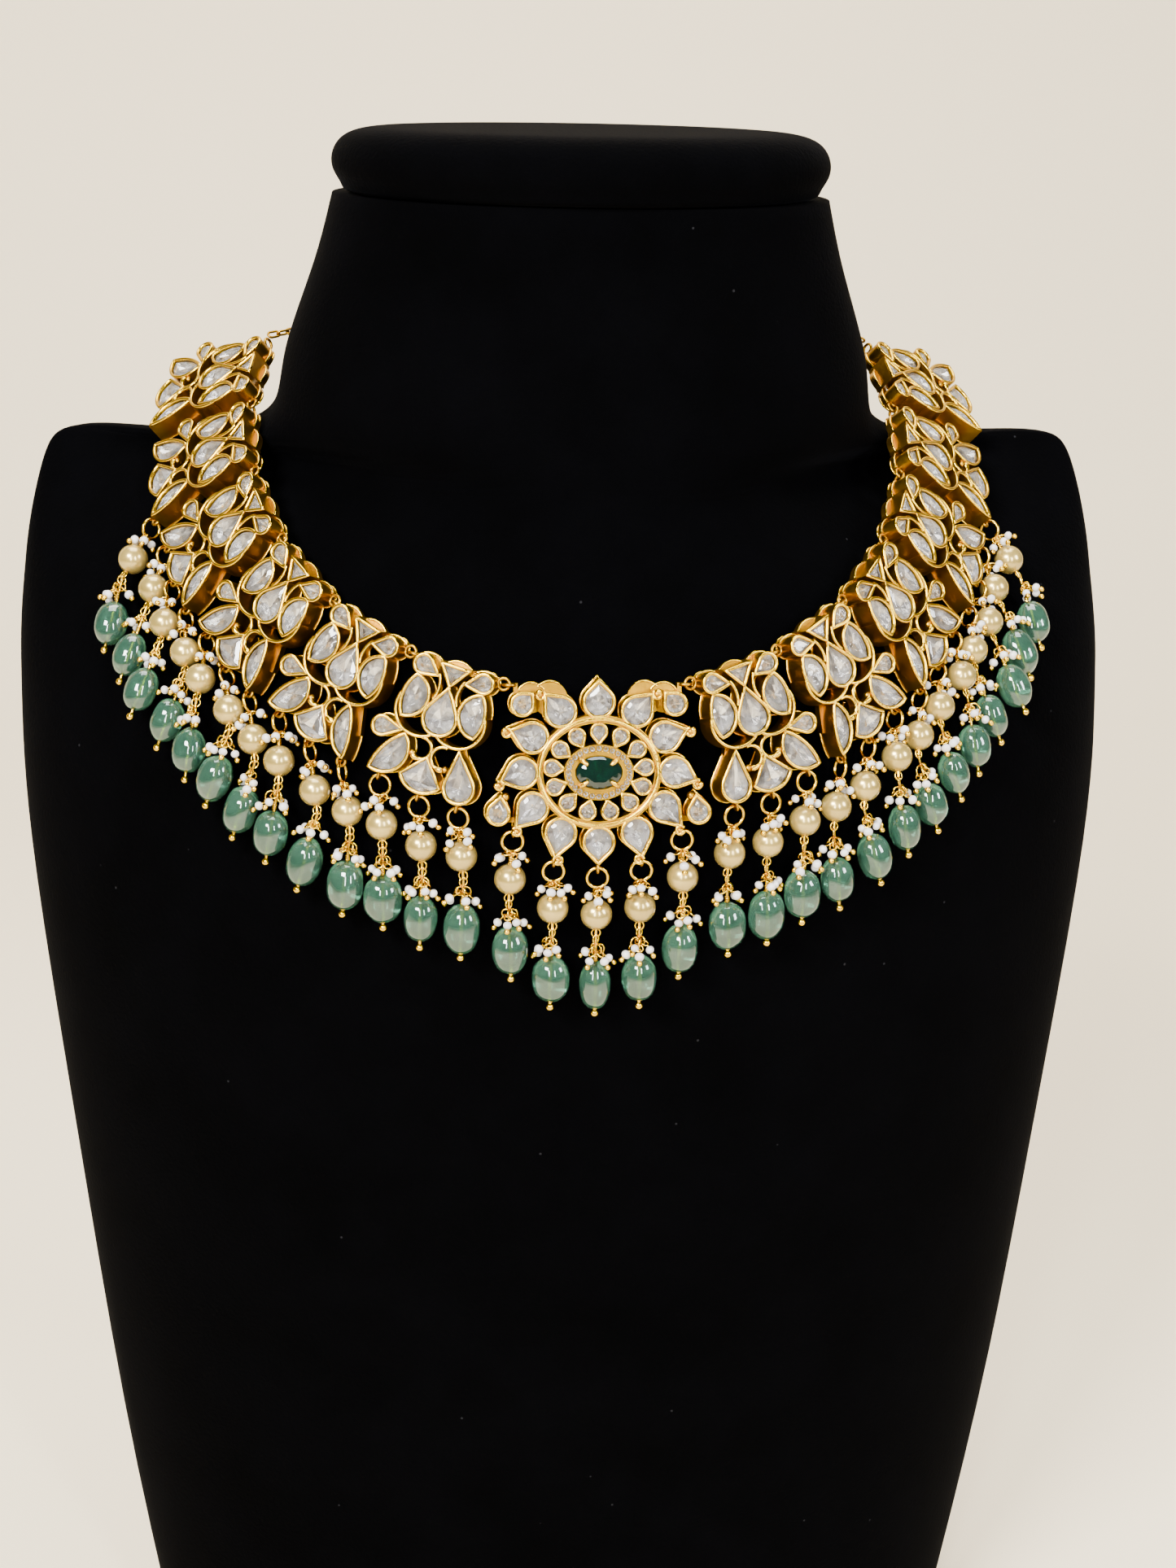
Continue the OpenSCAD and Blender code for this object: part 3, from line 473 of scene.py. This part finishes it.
for side, turn in (("left", Matrix.Identity(4)), ("right", flip)):
    for i in range(1, 7):
        outlines = [stone_line(row, stone_in, 9) for row in cups_of(i)]
        outlines += [leaf_line(*row, inset=stone_in, count=6) for row in leaves_of(i)]
        outlines += [along_sides(drawn_in(crest, stone_in), 3), fan_line(stone_in)[::2]]
        stones = bmesh.new()
        for outline in outlines:
            cut_stone(stones, outline, girdle, stone_up, stone_down, table_share, turn @ place_of(i))
        bmesh.ops.recalc_face_normals(stones, faces=stones.faces)
        stones = object_of("polki_%s_%d" % (side, i), stones, crystal, foil, smooth=False)
        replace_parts(stones, "stones_%s_%d" % (side, i))


# The centre piece: an oval ring with twelve pears round it and thirteen small ones inside, built up of
# the same strip cups on one back plate. A curl of wire with a bead ends most of the outer tips.

outer_x, outer_y = 0.337 * centre_w, 0.309 * centre_w
petal_dirs = [(90, 90, 0.107), (60, 48, 0.116), (30, 19, 0.116), (0, -21, 0.116), (-30, -49, 0.126),
              (-60, -77, 0.121)]


def petal(k, s=1):
    """Petal k round the oval: its centre, radius and tip. s of -1 turns it upside down."""
    angle, way, long = petal_dirs[k]
    c = Vector((outer_x * math.cos(math.radians(angle)), s * outer_y * math.sin(math.radians(angle))))
    out = Vector((math.cos(math.radians(way)), s * math.sin(math.radians(way))))
    return [c, 0.0733 * centre_w, c + long * centre_w * out]


def mirrored(cup):
    return [Vector((-cup[0].x, cup[0].y)), cup[1], Vector((-cup[2].x, cup[2].y))]


petals = [petal(k) for k in range(1, 6)]
corners = [[Vector((0.337, 0.3)) * centre_w, 0.0547 * centre_w, Vector((0.284, 0.358)) * centre_w],
           [Vector((0.444, -0.179)) * centre_w, 0.0547 * centre_w, Vector((0.43, -0.091)) * centre_w]]
outer_cups = [petal(0), petal(0, -1)] + petals + corners + [mirrored(c) for c in petals + corners]
inner_cups = []
for k in range(13):
    a = math.radians(90 + 360 * k / 13)
    inner_cups.append([Vector((0.209 * math.cos(a), 0.18 * math.sin(a))) * centre_w, 0.0407 * centre_w,
                       Vector((0.142 * math.cos(a), 0.114 * math.sin(a))) * centre_w])


def oval(a, b, count, turn=0.0):
    angles = [2 * math.pi * (k + turn) / count for k in range(count)]
    return [Vector((a * math.cos(t), b * math.sin(t))) for t in angles]


heart = place_of(0)
runs = [([heart @ Vector((p.x, p.y, front_z - 0.06)) for p in cup_line(*cup, inset=rim_in)], rim_r, True)
        for cup in outer_cups]
runs += [([heart @ Vector((p.x, p.y, front_z - 0.08)) for p in cup_line(*cup, inset=0.25, count=20)],
          0.3, True) for cup in inner_cups]
band = oval(0.2617 * centre_w, 0.2355 * centre_w, 72)
runs.append(([heart @ Vector((p.x, p.y, front_z + 0.02)) for p in band], 0.5, True))
for s in (-1, 1):
    for cup in petals:
        way = (cup[2] - cup[0]).normalized()
        across = Vector((way.y, -way.x))
        hub = cup[2] + across * 0.75
        turns = []
        for k in range(15):
            a = math.atan2(-across.y, -across.x) + math.radians(k * 24)
            turns.append(hub + (1.0 - 0.035 * k) * Vector((math.cos(a), math.sin(a))) * 0.95)
        runs.append(([heart @ Vector((s * p.x, p.y, front_z - 0.15)) for p in turns],
                     [0.33] * 10 + [0.36, 0.44, 0.56, 0.6, 0.46], False))
wire_piece("rims_centre", runs, rim_gold)

runs = [([heart @ Vector((p.x, p.y, back_z + 0.25)) for p in cup_line(*cup, inset=edge_out)], edge_r, True)
        for cup in outer_cups]
for s in (-1, 1):
    for x, y, r, start, end in ((0.293, 0.324, 0.067, 20, 150), (0.209, 0.32, 0.077, 45, 125)):
        arc = [Vector((x, y)) * centre_w + r * centre_w * Vector((math.cos(a), math.sin(a)))
               for a in (math.radians(degrees) for degrees in range(start, end + 1, 7))]
        runs.append(([heart @ Vector((s * p.x, p.y, back_z + 1.4)) for p in arc], rail_r, False))
wire_piece("back_edges_centre", runs, rim_gold, sides=1)

stones = bmesh.new()
for cup in outer_cups:
    cut_stone(stones, stone_line(cup, stone_in, 9), girdle, stone_up, stone_down, table_share, heart)
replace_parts(object_of("polki_centre", stones, crystal, foil, smooth=False), "centre_stones")


# The small inner stones and the halo: machine-cut clear stones. The thirteen pears sit in their cups, and
# the halo is a row of one-millimetre rounds held by raised beads of gold.

small = bmesh.new()
for cup in inner_cups:
    cut_stone(small, cup_line(*cup, inset=0.55, count=7), girdle + 0.1, 0.38, 0.9, 0.6, heart)
object_of("inner_pears", small, crystal, foil, smooth=False)

halo = bmesh.new()
beads = bmesh.new()
halo_count = 28
halo_at = oval(5.8, 4.55, halo_count)
for k, p in enumerate(halo_at):
    cut_stone(halo, [p + q for q in oval(0.54, 0.54, 8)], front_z + 0.3, 0.18, 0.42, 0.55, heart)
    nearby = halo_at[(k + 1) % halo_count]
    gapway = (p + nearby) / 2
    out = gapway.normalized()
    for reach in (-0.44, 0.44):
        spot = gapway + out * reach
        bmesh.ops.create_icosphere(beads, subdivisions=1, radius=0.17,
                                   matrix=Matrix.Translation((spot.x, spot.y, front_z + 0.3)))
bmesh.ops.transform(beads, matrix=heart, verts=beads.verts)
object_of("halo_stones", halo, crystal, foil, smooth=False)
object_of("halo_beads", beads, rim_gold)


# The emerald: an oval mixed cut in dark bluish green, held by four prongs over a closed cup. Its table is
# flat and mirror-like, and its lower facets show as brighter green flecks.

emerald_glass, tree, place = new_material("emerald")
garden = add_node(tree, "ShaderNodeTexNoise", {"Vector": place, "Scale": 1 / (1.8 * mm), "Detail": 4.0})
depth = add_node(tree, "ShaderNodeMix", {
    0: garden.outputs["Fac"], 6: linear("06352A"), 7: linear("0F6650")}, data_type="RGBA")
shader = add_node(tree, "ShaderNodeBsdfPrincipled", {
    "Base Color": depth.outputs[2], "Roughness": 0.02, "IOR": 1.58, "Transmission Weight": 0.92})
add_node(tree, "ShaderNodeOutputMaterial", {"Surface": shader.outputs[0]})

pavilion, tree, place = new_material("emerald_pavilion")
flash = add_node(tree, "ShaderNodeTexNoise", {"Vector": place, "Scale": 1 / (1.1 * mm), "Detail": 2.0})
green = add_node(tree, "ShaderNodeMix", {
    0: flash.outputs["Fac"], 6: linear("021C16"), 7: linear("0F6A50")}, data_type="RGBA")
shader = add_node(tree, "ShaderNodeBsdfPrincipled", {
    "Base Color": green.outputs[2], "Metallic": 1.0, "Roughness": 0.1})
add_node(tree, "ShaderNodeOutputMaterial", {"Surface": shader.outputs[0]})

stone = bmesh.new()
half_w, half_h, belt_z = 8.7 / 2, 6.2 / 2, front_z + 0.25
# each ring of corners: its share of the belt, its height, how many corners, and its turn in steps
rings = [(0.62, 0.85, 8, 0.5), (0.84, 0.52, 16, 0.0), (1.0, 0.06, 16, 0.5), (1.0, 0.0, 16, 0.5),
         (0.72, -0.75, 16, 0.0), (0.4, -1.4, 8, 0.5), (0.08, -1.85, 8, 0.0)]
verts = [stone.verts.new((p.x, p.y, belt_z + z)) for share, z, count, turn in rings
         for p in oval(half_w * share, half_h * share, count, turn)]
made = bmesh.ops.convex_hull(stone, input=verts)
spare = {g for g in made["geom_interior"] + made["geom_unused"] if isinstance(g, bmesh.types.BMVert)}
bmesh.ops.delete(stone, geom=list(spare), context="VERTS")
for face in stone.faces:
    face.material_index = 0 if face.calc_center_median().z > belt_z else 1
bmesh.ops.transform(stone, matrix=heart, verts=stone.verts)
stone = object_of("emerald_cut", stone, emerald_glass, pavilion, smooth=False)
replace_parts(stone, "centre_emerald")
claw = ((3.5, 2.6, 3.0), (3.45, 2.55, 4.0), (3.1, 2.25, 4.5), (2.6, 1.85, 4.7), (2.2, 1.55, 4.7))
claws = [([heart @ Vector((sx * x, sy * y, z)) for x, y, z in claw], [0.5, 0.5, 0.48, 0.44, 0.3], False)
         for sx in (-1, 1) for sy in (-1, 1)]
wire_piece("emerald_claws", claws, rim_gold)


# The drops: from each loop a jump ring, a pearl on an eye pin, a bundle of seed pearls, and a green bead
# whose pin ends in a gold ball. They lean with the chest, and the outer ones swing out.

# each drop: its link, its loop, and how far the pearl and then the bead lean out and forward, in degrees
drops = {"left": [
    (1, 0, -5, 3, 2, 4), (1, 1, -3, 9, 2, 3), (1, 2, -2, 14, 0, 5), (2, 0, -7, 19, 6, 6),
    (2, 1, -7, 27, 15, 2), (2, 2, 1, 30, 10, 3), (3, 0, -6, 34, 17, 4), (3, 1, -5, 46, 18, 3),
    (3, 2, 11, 39, 9, 16), (4, 0, 0, 43, 21, 11),
    (4, 1, 14, 44, 23, 27), (4, 2, 21, 40, 21, 28), (5, 0, 33, 37, 14, 33)],
    "centre": [(0, 0, 0, -2, 0, 2), (0, 1, 0, -2, 1, 2), (0, 2, 3, 0, -2, 2)]}
hang_at = [Vector(p) * link_w for p in ((0.417, -0.792), (0.005, -0.81), (-0.438, -0.734))]
below = Vector((0, 0.2 - 0.85))
centre_hangs = [petal(0, -1)[2] + below, mirrored(petals[4])[2] + below, mirrored(petals[3])[2] + below]
pearl_r, bead_w = 3.05, 6.9
upper, joint, lower = 9.6, 4.4, 10.2


def lean(outward, forward):
    return Vector((-math.tan(math.radians(outward)), -math.tan(math.radians(forward)), -1)).normalized()


def drop_of(row, mirror=False):
    """A drop's places in mm: loop, pearl, joint, bead, the two directions, and the way out of the chest."""
    link, loop, out1, fwd1, out2, fwd2 = row
    p = (centre_hangs if link == 0 else hang_at)[loop]
    spot = place_of(link)
    start = (spot @ Vector((p.x, p.y, 0.9))) / mm
    v, w = lean(out1, fwd1), lean(out2, fwd2)
    face = (spot.to_3x3() @ Vector((0, 0, 1))).normalized()
    drop = {"loop": start, "pearl": start + v * upper, "joint": start + v * (upper + joint),
            "bead": start + v * (upper + joint) + w * lower, "v": v, "w": w, "face": face}
    if mirror:
        drop = {k: Vector((-p.x, p.y, p.z)) for k, p in drop.items()}
    return drop


groups = {"left": [drop_of(r) for r in drops["left"]],
          "centre": [drop_of(r) for r in drops["centre"]] + [drop_of(r, True) for r in drops["centre"][1:]],
          "right": [drop_of(r, True) for r in drops["left"]]}
all_drops = [d for group in groups.values() for d in group]


def turned_to(direction, at):
    """The matrix in metres that turns z to a direction at a place in mm."""
    return Matrix.Translation(at * mm) @ direction.to_track_quat("Z", "Y").to_matrix().to_4x4()


# the jump rings and pins are bright drawn wire, like the rims
for group in groups:
    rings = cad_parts["pins_" + group].data.materials
    rings.clear()
    rings.append(rim_gold)


# Cream pearls: a nacre coat over glass, smooth and lustrous, with a soft highlight and a faint blush.
nacre, tree, place = new_material("cream_nacre")
blush = add_node(tree, "ShaderNodeTexNoise", {"Vector": place, "Scale": 1 / (4 * mm), "Detail": 2.0})
cream = add_node(tree, "ShaderNodeMix", {
    0: blush.outputs["Fac"], 6: linear("947C3A"), 7: linear("BEA65E")}, data_type="RGBA")
satin = add_node(tree, "ShaderNodeBump", {
    "Height": blush.outputs["Fac"], "Strength": 0.1, "Distance": 0.1 * mm})
shader = add_node(tree, "ShaderNodeBsdfPrincipled", {
    "Base Color": cream.outputs[2], "Roughness": 0.26, "Metallic": 0.6, "Coat Weight": 0.8,
    "Coat Roughness": 0.06, "Normal": satin.outputs["Normal"]})
add_node(tree, "ShaderNodeOutputMaterial", {"Surface": shader.outputs[0]})

for group, row in groups.items():
    bm = bmesh.new()
    for d in row:
        bmesh.ops.create_uvsphere(bm, u_segments=28, v_segments=20, radius=pearl_r * mm,
                                  matrix=turned_to(d["v"], d["pearl"]))
    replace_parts(object_of("cream_pearls_" + group, bm, nacre), "pearls_" + group)


# Green beads: tumbled quartz or fluorite ovals, drilled end to end, cloudy and translucent. No two are
# quite alike, and their ends are soft.

green_stone, tree, place = new_material("tumbled_green_stone")
cloud = add_node(tree, "ShaderNodeTexNoise", {
    "Vector": place, "Scale": 1 / (3.2 * mm), "Detail": 5.0, "Roughness": 0.65})
tone = add_node(tree, "ShaderNodeMix", {
    0: cloud.outputs["Fac"], 6: linear("1C4838"), 7: linear("5E9078")}, data_type="RGBA")
ripple = add_node(tree, "ShaderNodeBump", {
    "Height": cloud.outputs["Fac"], "Strength": 0.08, "Distance": 0.3 * mm})
shader = add_node(tree, "ShaderNodeBsdfPrincipled", {
    "Base Color": tone.outputs[2], "Roughness": 0.05, "IOR": 1.5, "Transmission Weight": 0.75,
    "Subsurface Weight": 0.6, "Subsurface Radius": (0.7, 1.0, 0.85), "Subsurface Scale": 2.0 * mm,
    "Coat Weight": 0.6, "Coat Roughness": 0.02, "Normal": ripple.outputs["Normal"]})
add_node(tree, "ShaderNodeOutputMaterial", {"Surface": shader.outputs[0]})

# each bead's width and length
side_beads = [(7.1, 10.0), (6.6, 9.0), (7.6, 9.6), (7.6, 9.9), (7.3, 9.8), (7.2, 9.0), (7.5, 9.6),
              (7.2, 9.4), (6.6, 9.0), (6.5, 8.8), (6.6, 8.8), (6.4, 9.0), (6.8, 9.2)]
bead_sizes = {"left": side_beads, "centre": [(6.0, 9.9), (7.5, 9.3), (7.2, 9.6), (6.9, 9.4), (7.2, 9.8)],
              "right": side_beads[2:] + side_beads[:2]}
for group, row in groups.items():
    bm = bmesh.new()
    for d, (broad, long) in zip(row, bead_sizes[group]):
        ball = bmesh.ops.create_uvsphere(bm, u_segments=28, v_segments=20, radius=1.0)["verts"]
        flat = min(broad, bead_w) * chance.uniform(0.94, 1.0)
        seed = Vector((chance.random(), chance.random(), chance.random())) * 50
        for vert in ball:
            x, y, z = vert.co
            squarer = math.copysign(abs(z) ** 0.86, z)
            swell = (1 - abs(squarer) ** 2.35) ** 0.5 if abs(squarer) < 1 else 0.0
            ring = math.hypot(x, y) or 1.0
            dent = 1 + 0.05 * noise.noise(vert.co * 1.3 + seed)
            vert.co = Vector((x / ring * swell * broad / 2, y / ring * swell * flat / 2,
                              squarer * long / 2)) * dent
        bmesh.ops.transform(bm, matrix=turned_to(d["w"], d["bead"]) @ Matrix.Scale(mm, 4), verts=ball)
    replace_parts(object_of("green_beads_" + group, bm, green_stone), "beads_" + group)


# Seed pearls: white pearls a little under two millimetres on fine gold pins, up to four hooked into the
# ring above each cream pearl and again above each bead. Every pin ends in a tiny gold ball.

seed_white, tree, place = new_material("white_seed_pearl")
shade = add_node(tree, "ShaderNodeTexNoise", {"Vector": place, "Scale": 1 / (1.5 * mm), "Detail": 2.0})
white = add_node(tree, "ShaderNodeMix", {
    0: shade.outputs["Fac"], 6: linear("A9A4A3"), 7: linear("DCD8D4")}, data_type="RGBA")
shader = add_node(tree, "ShaderNodeBsdfPrincipled", {
    "Base Color": white.outputs[2], "Roughness": 0.25, "Coat Weight": 0.4, "Coat Roughness": 0.1})
add_node(tree, "ShaderNodeOutputMaterial", {"Surface": shader.outputs[0]})

seed_r, ball_r, eye_wire, link_wire, stem_wire, wrap_wire = 0.92, 0.58, 0.18, 0.17, 0.17, 0.16
pearl_spots = [d["pearl"] for d in all_drops]
bead_spots = [(d["bead"] + d["w"] * t, bead_w / 2 * k)
              for d in all_drops for t, k in ((-2.6, 0.84), (0, 1.0), (2.6, 0.84))]


def ring_of(at, one, other, radius, count=12):
    """A ring of points in metres about a place in mm, in the plane of two directions."""
    return [(at + (one * math.cos(t) + other * math.sin(t)) * radius) * mm
            for t in (2 * math.pi * k / count for k in range(count))]


def coil_of(at, way, one, other, radius, long, turns):
    """Wire wrapped round a pin, as points in metres."""
    return [(at + way * long * k / (turns * 8)
             + (one * math.cos(k * math.pi / 4) + other * math.sin(k * math.pi / 4)) * radius) * mm
            for k in range(turns * 8 + 1)]


for group, row in groups.items():
    seeds, balls, wires, taken = bmesh.new(), bmesh.new(), [], []
    for d in row:
        for hub, way, core, low in ((d["loop"] + d["v"] * 4.2, d["v"], d["pearl"], -3.75),
                                    (d["joint"] + d["w"] * 1.9, d["w"], d["bead"], -5.5)):
            front = (d["face"] - way * d["face"].dot(way)).normalized()
            beside = way.cross(front)
            placed, tries = 0, 0
            while placed < 4 and tries < 80:
                tries += 1
                a = math.radians(chance.uniform(-120, 120))
                radial = front * math.cos(a) + beside * math.sin(a)
                spot = core + way * (low + chance.uniform(-1.1, 0.7)) + radial * chance.uniform(1.5, 3.0)
                if any((spot - q).length < 2 * seed_r * 0.97 for q in taken):
                    continue
                if any((spot - q).length < pearl_r + seed_r * 0.97 for q in pearl_spots):
                    continue
                if any((spot - q).length < r + seed_r * 0.85 for q, r in bead_spots):
                    continue
                taken.append(spot)
                placed += 1
                tip_way = (way * chance.uniform(0.5, 1.0) + radial * 0.75).normalized()
                spin = turned_to(tip_way, spot)
                bmesh.ops.create_uvsphere(seeds, u_segments=10, v_segments=7,
                                          radius=seed_r * mm * chance.uniform(0.9, 1.05),
                                          matrix=spin @ Matrix.Diagonal((1, 1, 0.88, 1)))
                bmesh.ops.create_icosphere(balls, subdivisions=2, radius=ball_r * mm,
                                           matrix=Matrix.Translation(
                                               (spot + tip_way * (seed_r + ball_r * 0.7)) * mm))
                near = spot - tip_way * seed_r * 0.9
                eye_r = chance.uniform(0.6, 0.85)
                one = (hub - near).normalized()
                eye = near + one * (eye_r + 0.2)
                other = one.cross(radial + way * chance.uniform(-1, 1)).normalized()
                wires.append((ring_of(eye, one, other, eye_r), eye_wire, True))
                wires.append(([p * mm for p in (eye - one * eye_r, near, spot)], stem_wire, False))
                if (hub - eye).length > eye_r:
                    bridge_r = max(0.5, (hub - eye).length * 0.45)
                    bridge = ring_of(hub.lerp(eye, 0.5), one, one.cross(other), bridge_r)
                    wires.append((bridge, eye_wire, True))
        side, front = d["v"].cross(d["face"]).normalized(), d["face"]
        turned = (side + front).normalized()
        upper_wrap = coil_of(d["loop"] + d["v"] * 5.3, d["v"], side, front, 0.42, 1.2, 3)
        lower_wrap = coil_of(d["joint"] + d["w"] * 4.3, d["w"], side, front, 0.42, 1.1, 3)
        wires.append((upper_wrap, wrap_wire, False))
        wires.append((ring_of(d["joint"] - d["v"] * 0.55, d["v"], side, 0.85, 14), link_wire, True))
        wires.append((ring_of(d["joint"] + d["w"] * 0.75, d["w"], turned, 0.85, 14), link_wire, True))
        wires.append((lower_wrap, wrap_wire, False))
    object_of("seed_pearls_" + group, seeds, seed_white)
    object_of("seed_balls_" + group, balls, rim_gold)
    wire_piece("seed_wires_" + group, wires, rim_gold, sides=1)


# The back chain: round cable links between the last eyes, run through a plain barrel clasp at the nape.
# Each link is turned a quarter from the one before it.

last = place_of(6)
ring_pt = (last @ Vector((-0.5156 * link_w - 0.25 - 1.1 - 0.57, 0.5156 * link_w, 0))) / mm
chain_back, chain_rise = 73 * 0.578, 4.0


def chain_pt(t):
    x = abs(t)
    return Vector((-ring_pt.x * t, chain_back - (chain_back - ring_pt.y) * x ** 1.7,
                   ring_pt.z + chain_rise * (1 - x * x)))


route = [chain_pt(1 - 2 * k / 400) for k in range(401)]
marks = [0.0]
for a, b in zip(route, route[1:]):
    marks.append(marks[-1] + (b - a).length)
count = round(marks[-1] / 2.1)
chain = bmesh.new()
for n in range(count):
    at = marks[-1] * (n + 0.5) / count
    k = next(j for j, m in enumerate(marks) if m >= at)
    way = (route[min(k + 1, 400)] - route[k - 1]).normalized()
    ring = bmesh.ops.create_circle(chain, segments=6, radius=0.27, matrix=Matrix.Translation((0.68, 0, 0))
                                   @ Matrix.Rotation(math.pi / 2, 4, "X"))["verts"]
    edges = list({e for v in ring for e in v.link_edges})
    bmesh.ops.spin(chain, geom=ring + edges, cent=(0, 0, 0), axis=(0, 0, 1), angle=2 * math.pi, steps=14,
                   use_merge=True)
    whole = {v for v in chain.verts if not v.tag}
    for v in whole:
        v.tag = True
        v.co.x += 0.62 if v.co.x > 0.001 else (-0.62 if v.co.x < -0.001 else 0)
    quarter = Matrix.Rotation(math.pi / 2 * (n % 2) + math.pi / 4, 4, "X")
    twist = way.to_track_quat("X", "Z").to_matrix().to_4x4() @ quarter
    spot = Matrix.Translation(route[k] * mm) @ Matrix.Scale(mm, 4) @ twist
    bmesh.ops.transform(chain, matrix=spot, verts=list(whole))
bmesh.ops.recalc_face_normals(chain, faces=chain.faces)
chain = object_of("cable_chain", chain, gold)
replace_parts(chain, "back_chain")


# The studio: a pale floor that sweeps up behind, a soft key from the upper left, a fill from the right, two
# tall strips that draw window-like glints on the beads, one light above and one for the sweep.

sweep_y, sweep_r = 0.7, 0.5
floor = bmesh.new()
bmesh.ops.create_grid(floor, x_segments=1, y_segments=40, size=3.0)
for vert in floor.verts:
    # flat under the bust, then a quarter turn upward and straight up behind it
    past = vert.co.y - sweep_y
    if past > 0:
        turn = min(past / sweep_r, math.pi / 2)
        vert.co.y = sweep_y + sweep_r * math.sin(turn)
        vert.co.z = sweep_r * (1 - math.cos(turn)) + max(0, past - sweep_r * math.pi / 2)
mesh = bpy.data.meshes.new("studio_floor")
for face in floor.faces:
    face.smooth = True
floor.to_mesh(mesh)
floor.free()
floor = bpy.data.objects.new("studio_floor", mesh)
bpy.context.scene.collection.objects.link(floor)
paper, tree, place = new_material("pale_floor")
shader = add_node(tree, "ShaderNodeBsdfPrincipled", {"Base Color": linear("E0D2B6"), "Roughness": 0.85})
add_node(tree, "ShaderNodeOutputMaterial", {"Surface": shader.outputs[0]})
floor.data.materials.append(paper)

room = bpy.data.worlds.new("room")
room.use_nodes = True
room.node_tree.nodes["Background"].inputs["Color"].default_value = linear("EDE6D8")
room.node_tree.nodes["Background"].inputs["Strength"].default_value = 0.26
bpy.context.scene.world = room


def softbox(name, at, look, size, power, colour):
    light = bpy.data.lights.new(name, "AREA")
    light.shape = "RECTANGLE"
    light.size, light.size_y = size
    light.energy = power
    light.color = linear(colour)[:3]
    lamp = bpy.data.objects.new(name, light)
    lamp.location = at
    lamp.rotation_euler = (Vector(look) - Vector(at)).to_track_quat("-Z", "Y").to_euler()
    bpy.context.scene.collection.objects.link(lamp)


softbox("key", (-0.6, -0.85, 1.0), (0, 0, 0.24), (0.45, 0.3), 52, "FFFEFA")
softbox("fill", (0.95, -0.6, 0.75), (0, 0, 0.24), (0.3, 0.45), 20, "F4F6FF")
softbox("left_strip", (-0.28, -0.95, 0.55), (0, 0, 0.22), (0.06, 0.45), 9, "FFFFFF")
softbox("right_strip", (0.3, -0.95, 0.6), (0, 0, 0.22), (0.06, 0.45), 9, "FFFFFF")
softbox("overhead", (0, 0.1, 1.6), (0, 0.1, 0.3), (0.9, 0.7), 26, "FFFFFF")
softbox("backdrop", (0, 0.55, 1.7), (0, 1.25, 0.35), (1.6, 0.5), 24, "FFF6E6")

# the photograph is 1445 by 1927 pixels, and the focal length is in its pixels
photo_height, focal = 1927, 2896
azimuth, elevation, roll = math.radians(-5.3), math.radians(18), math.radians(1.2)
back = Vector((math.sin(azimuth) * math.cos(elevation), -math.cos(azimuth) * math.cos(elevation),
               math.sin(elevation)))
right = (-back).cross(Vector((0, 0, 1))).normalized()
up = right.cross(-back)
across, upright = right * math.cos(roll) + up * math.sin(roll), up * math.cos(roll) - right * math.sin(roll)
lens = bpy.data.cameras.new("camera")
lens.sensor_fit = "VERTICAL"
lens.sensor_height = 36
lens.lens = focal / photo_height * 36
lens.clip_start = 0.01
camera = bpy.data.objects.new("camera", lens)
camera.matrix_world = (Matrix.Translation(Vector((3.8, 0, 213.8)) * mm + back * 512 * mm)
                       @ Matrix((across, upright, back)).transposed().to_4x4())
bpy.context.scene.collection.objects.link(camera)
bpy.context.scene.camera = camera
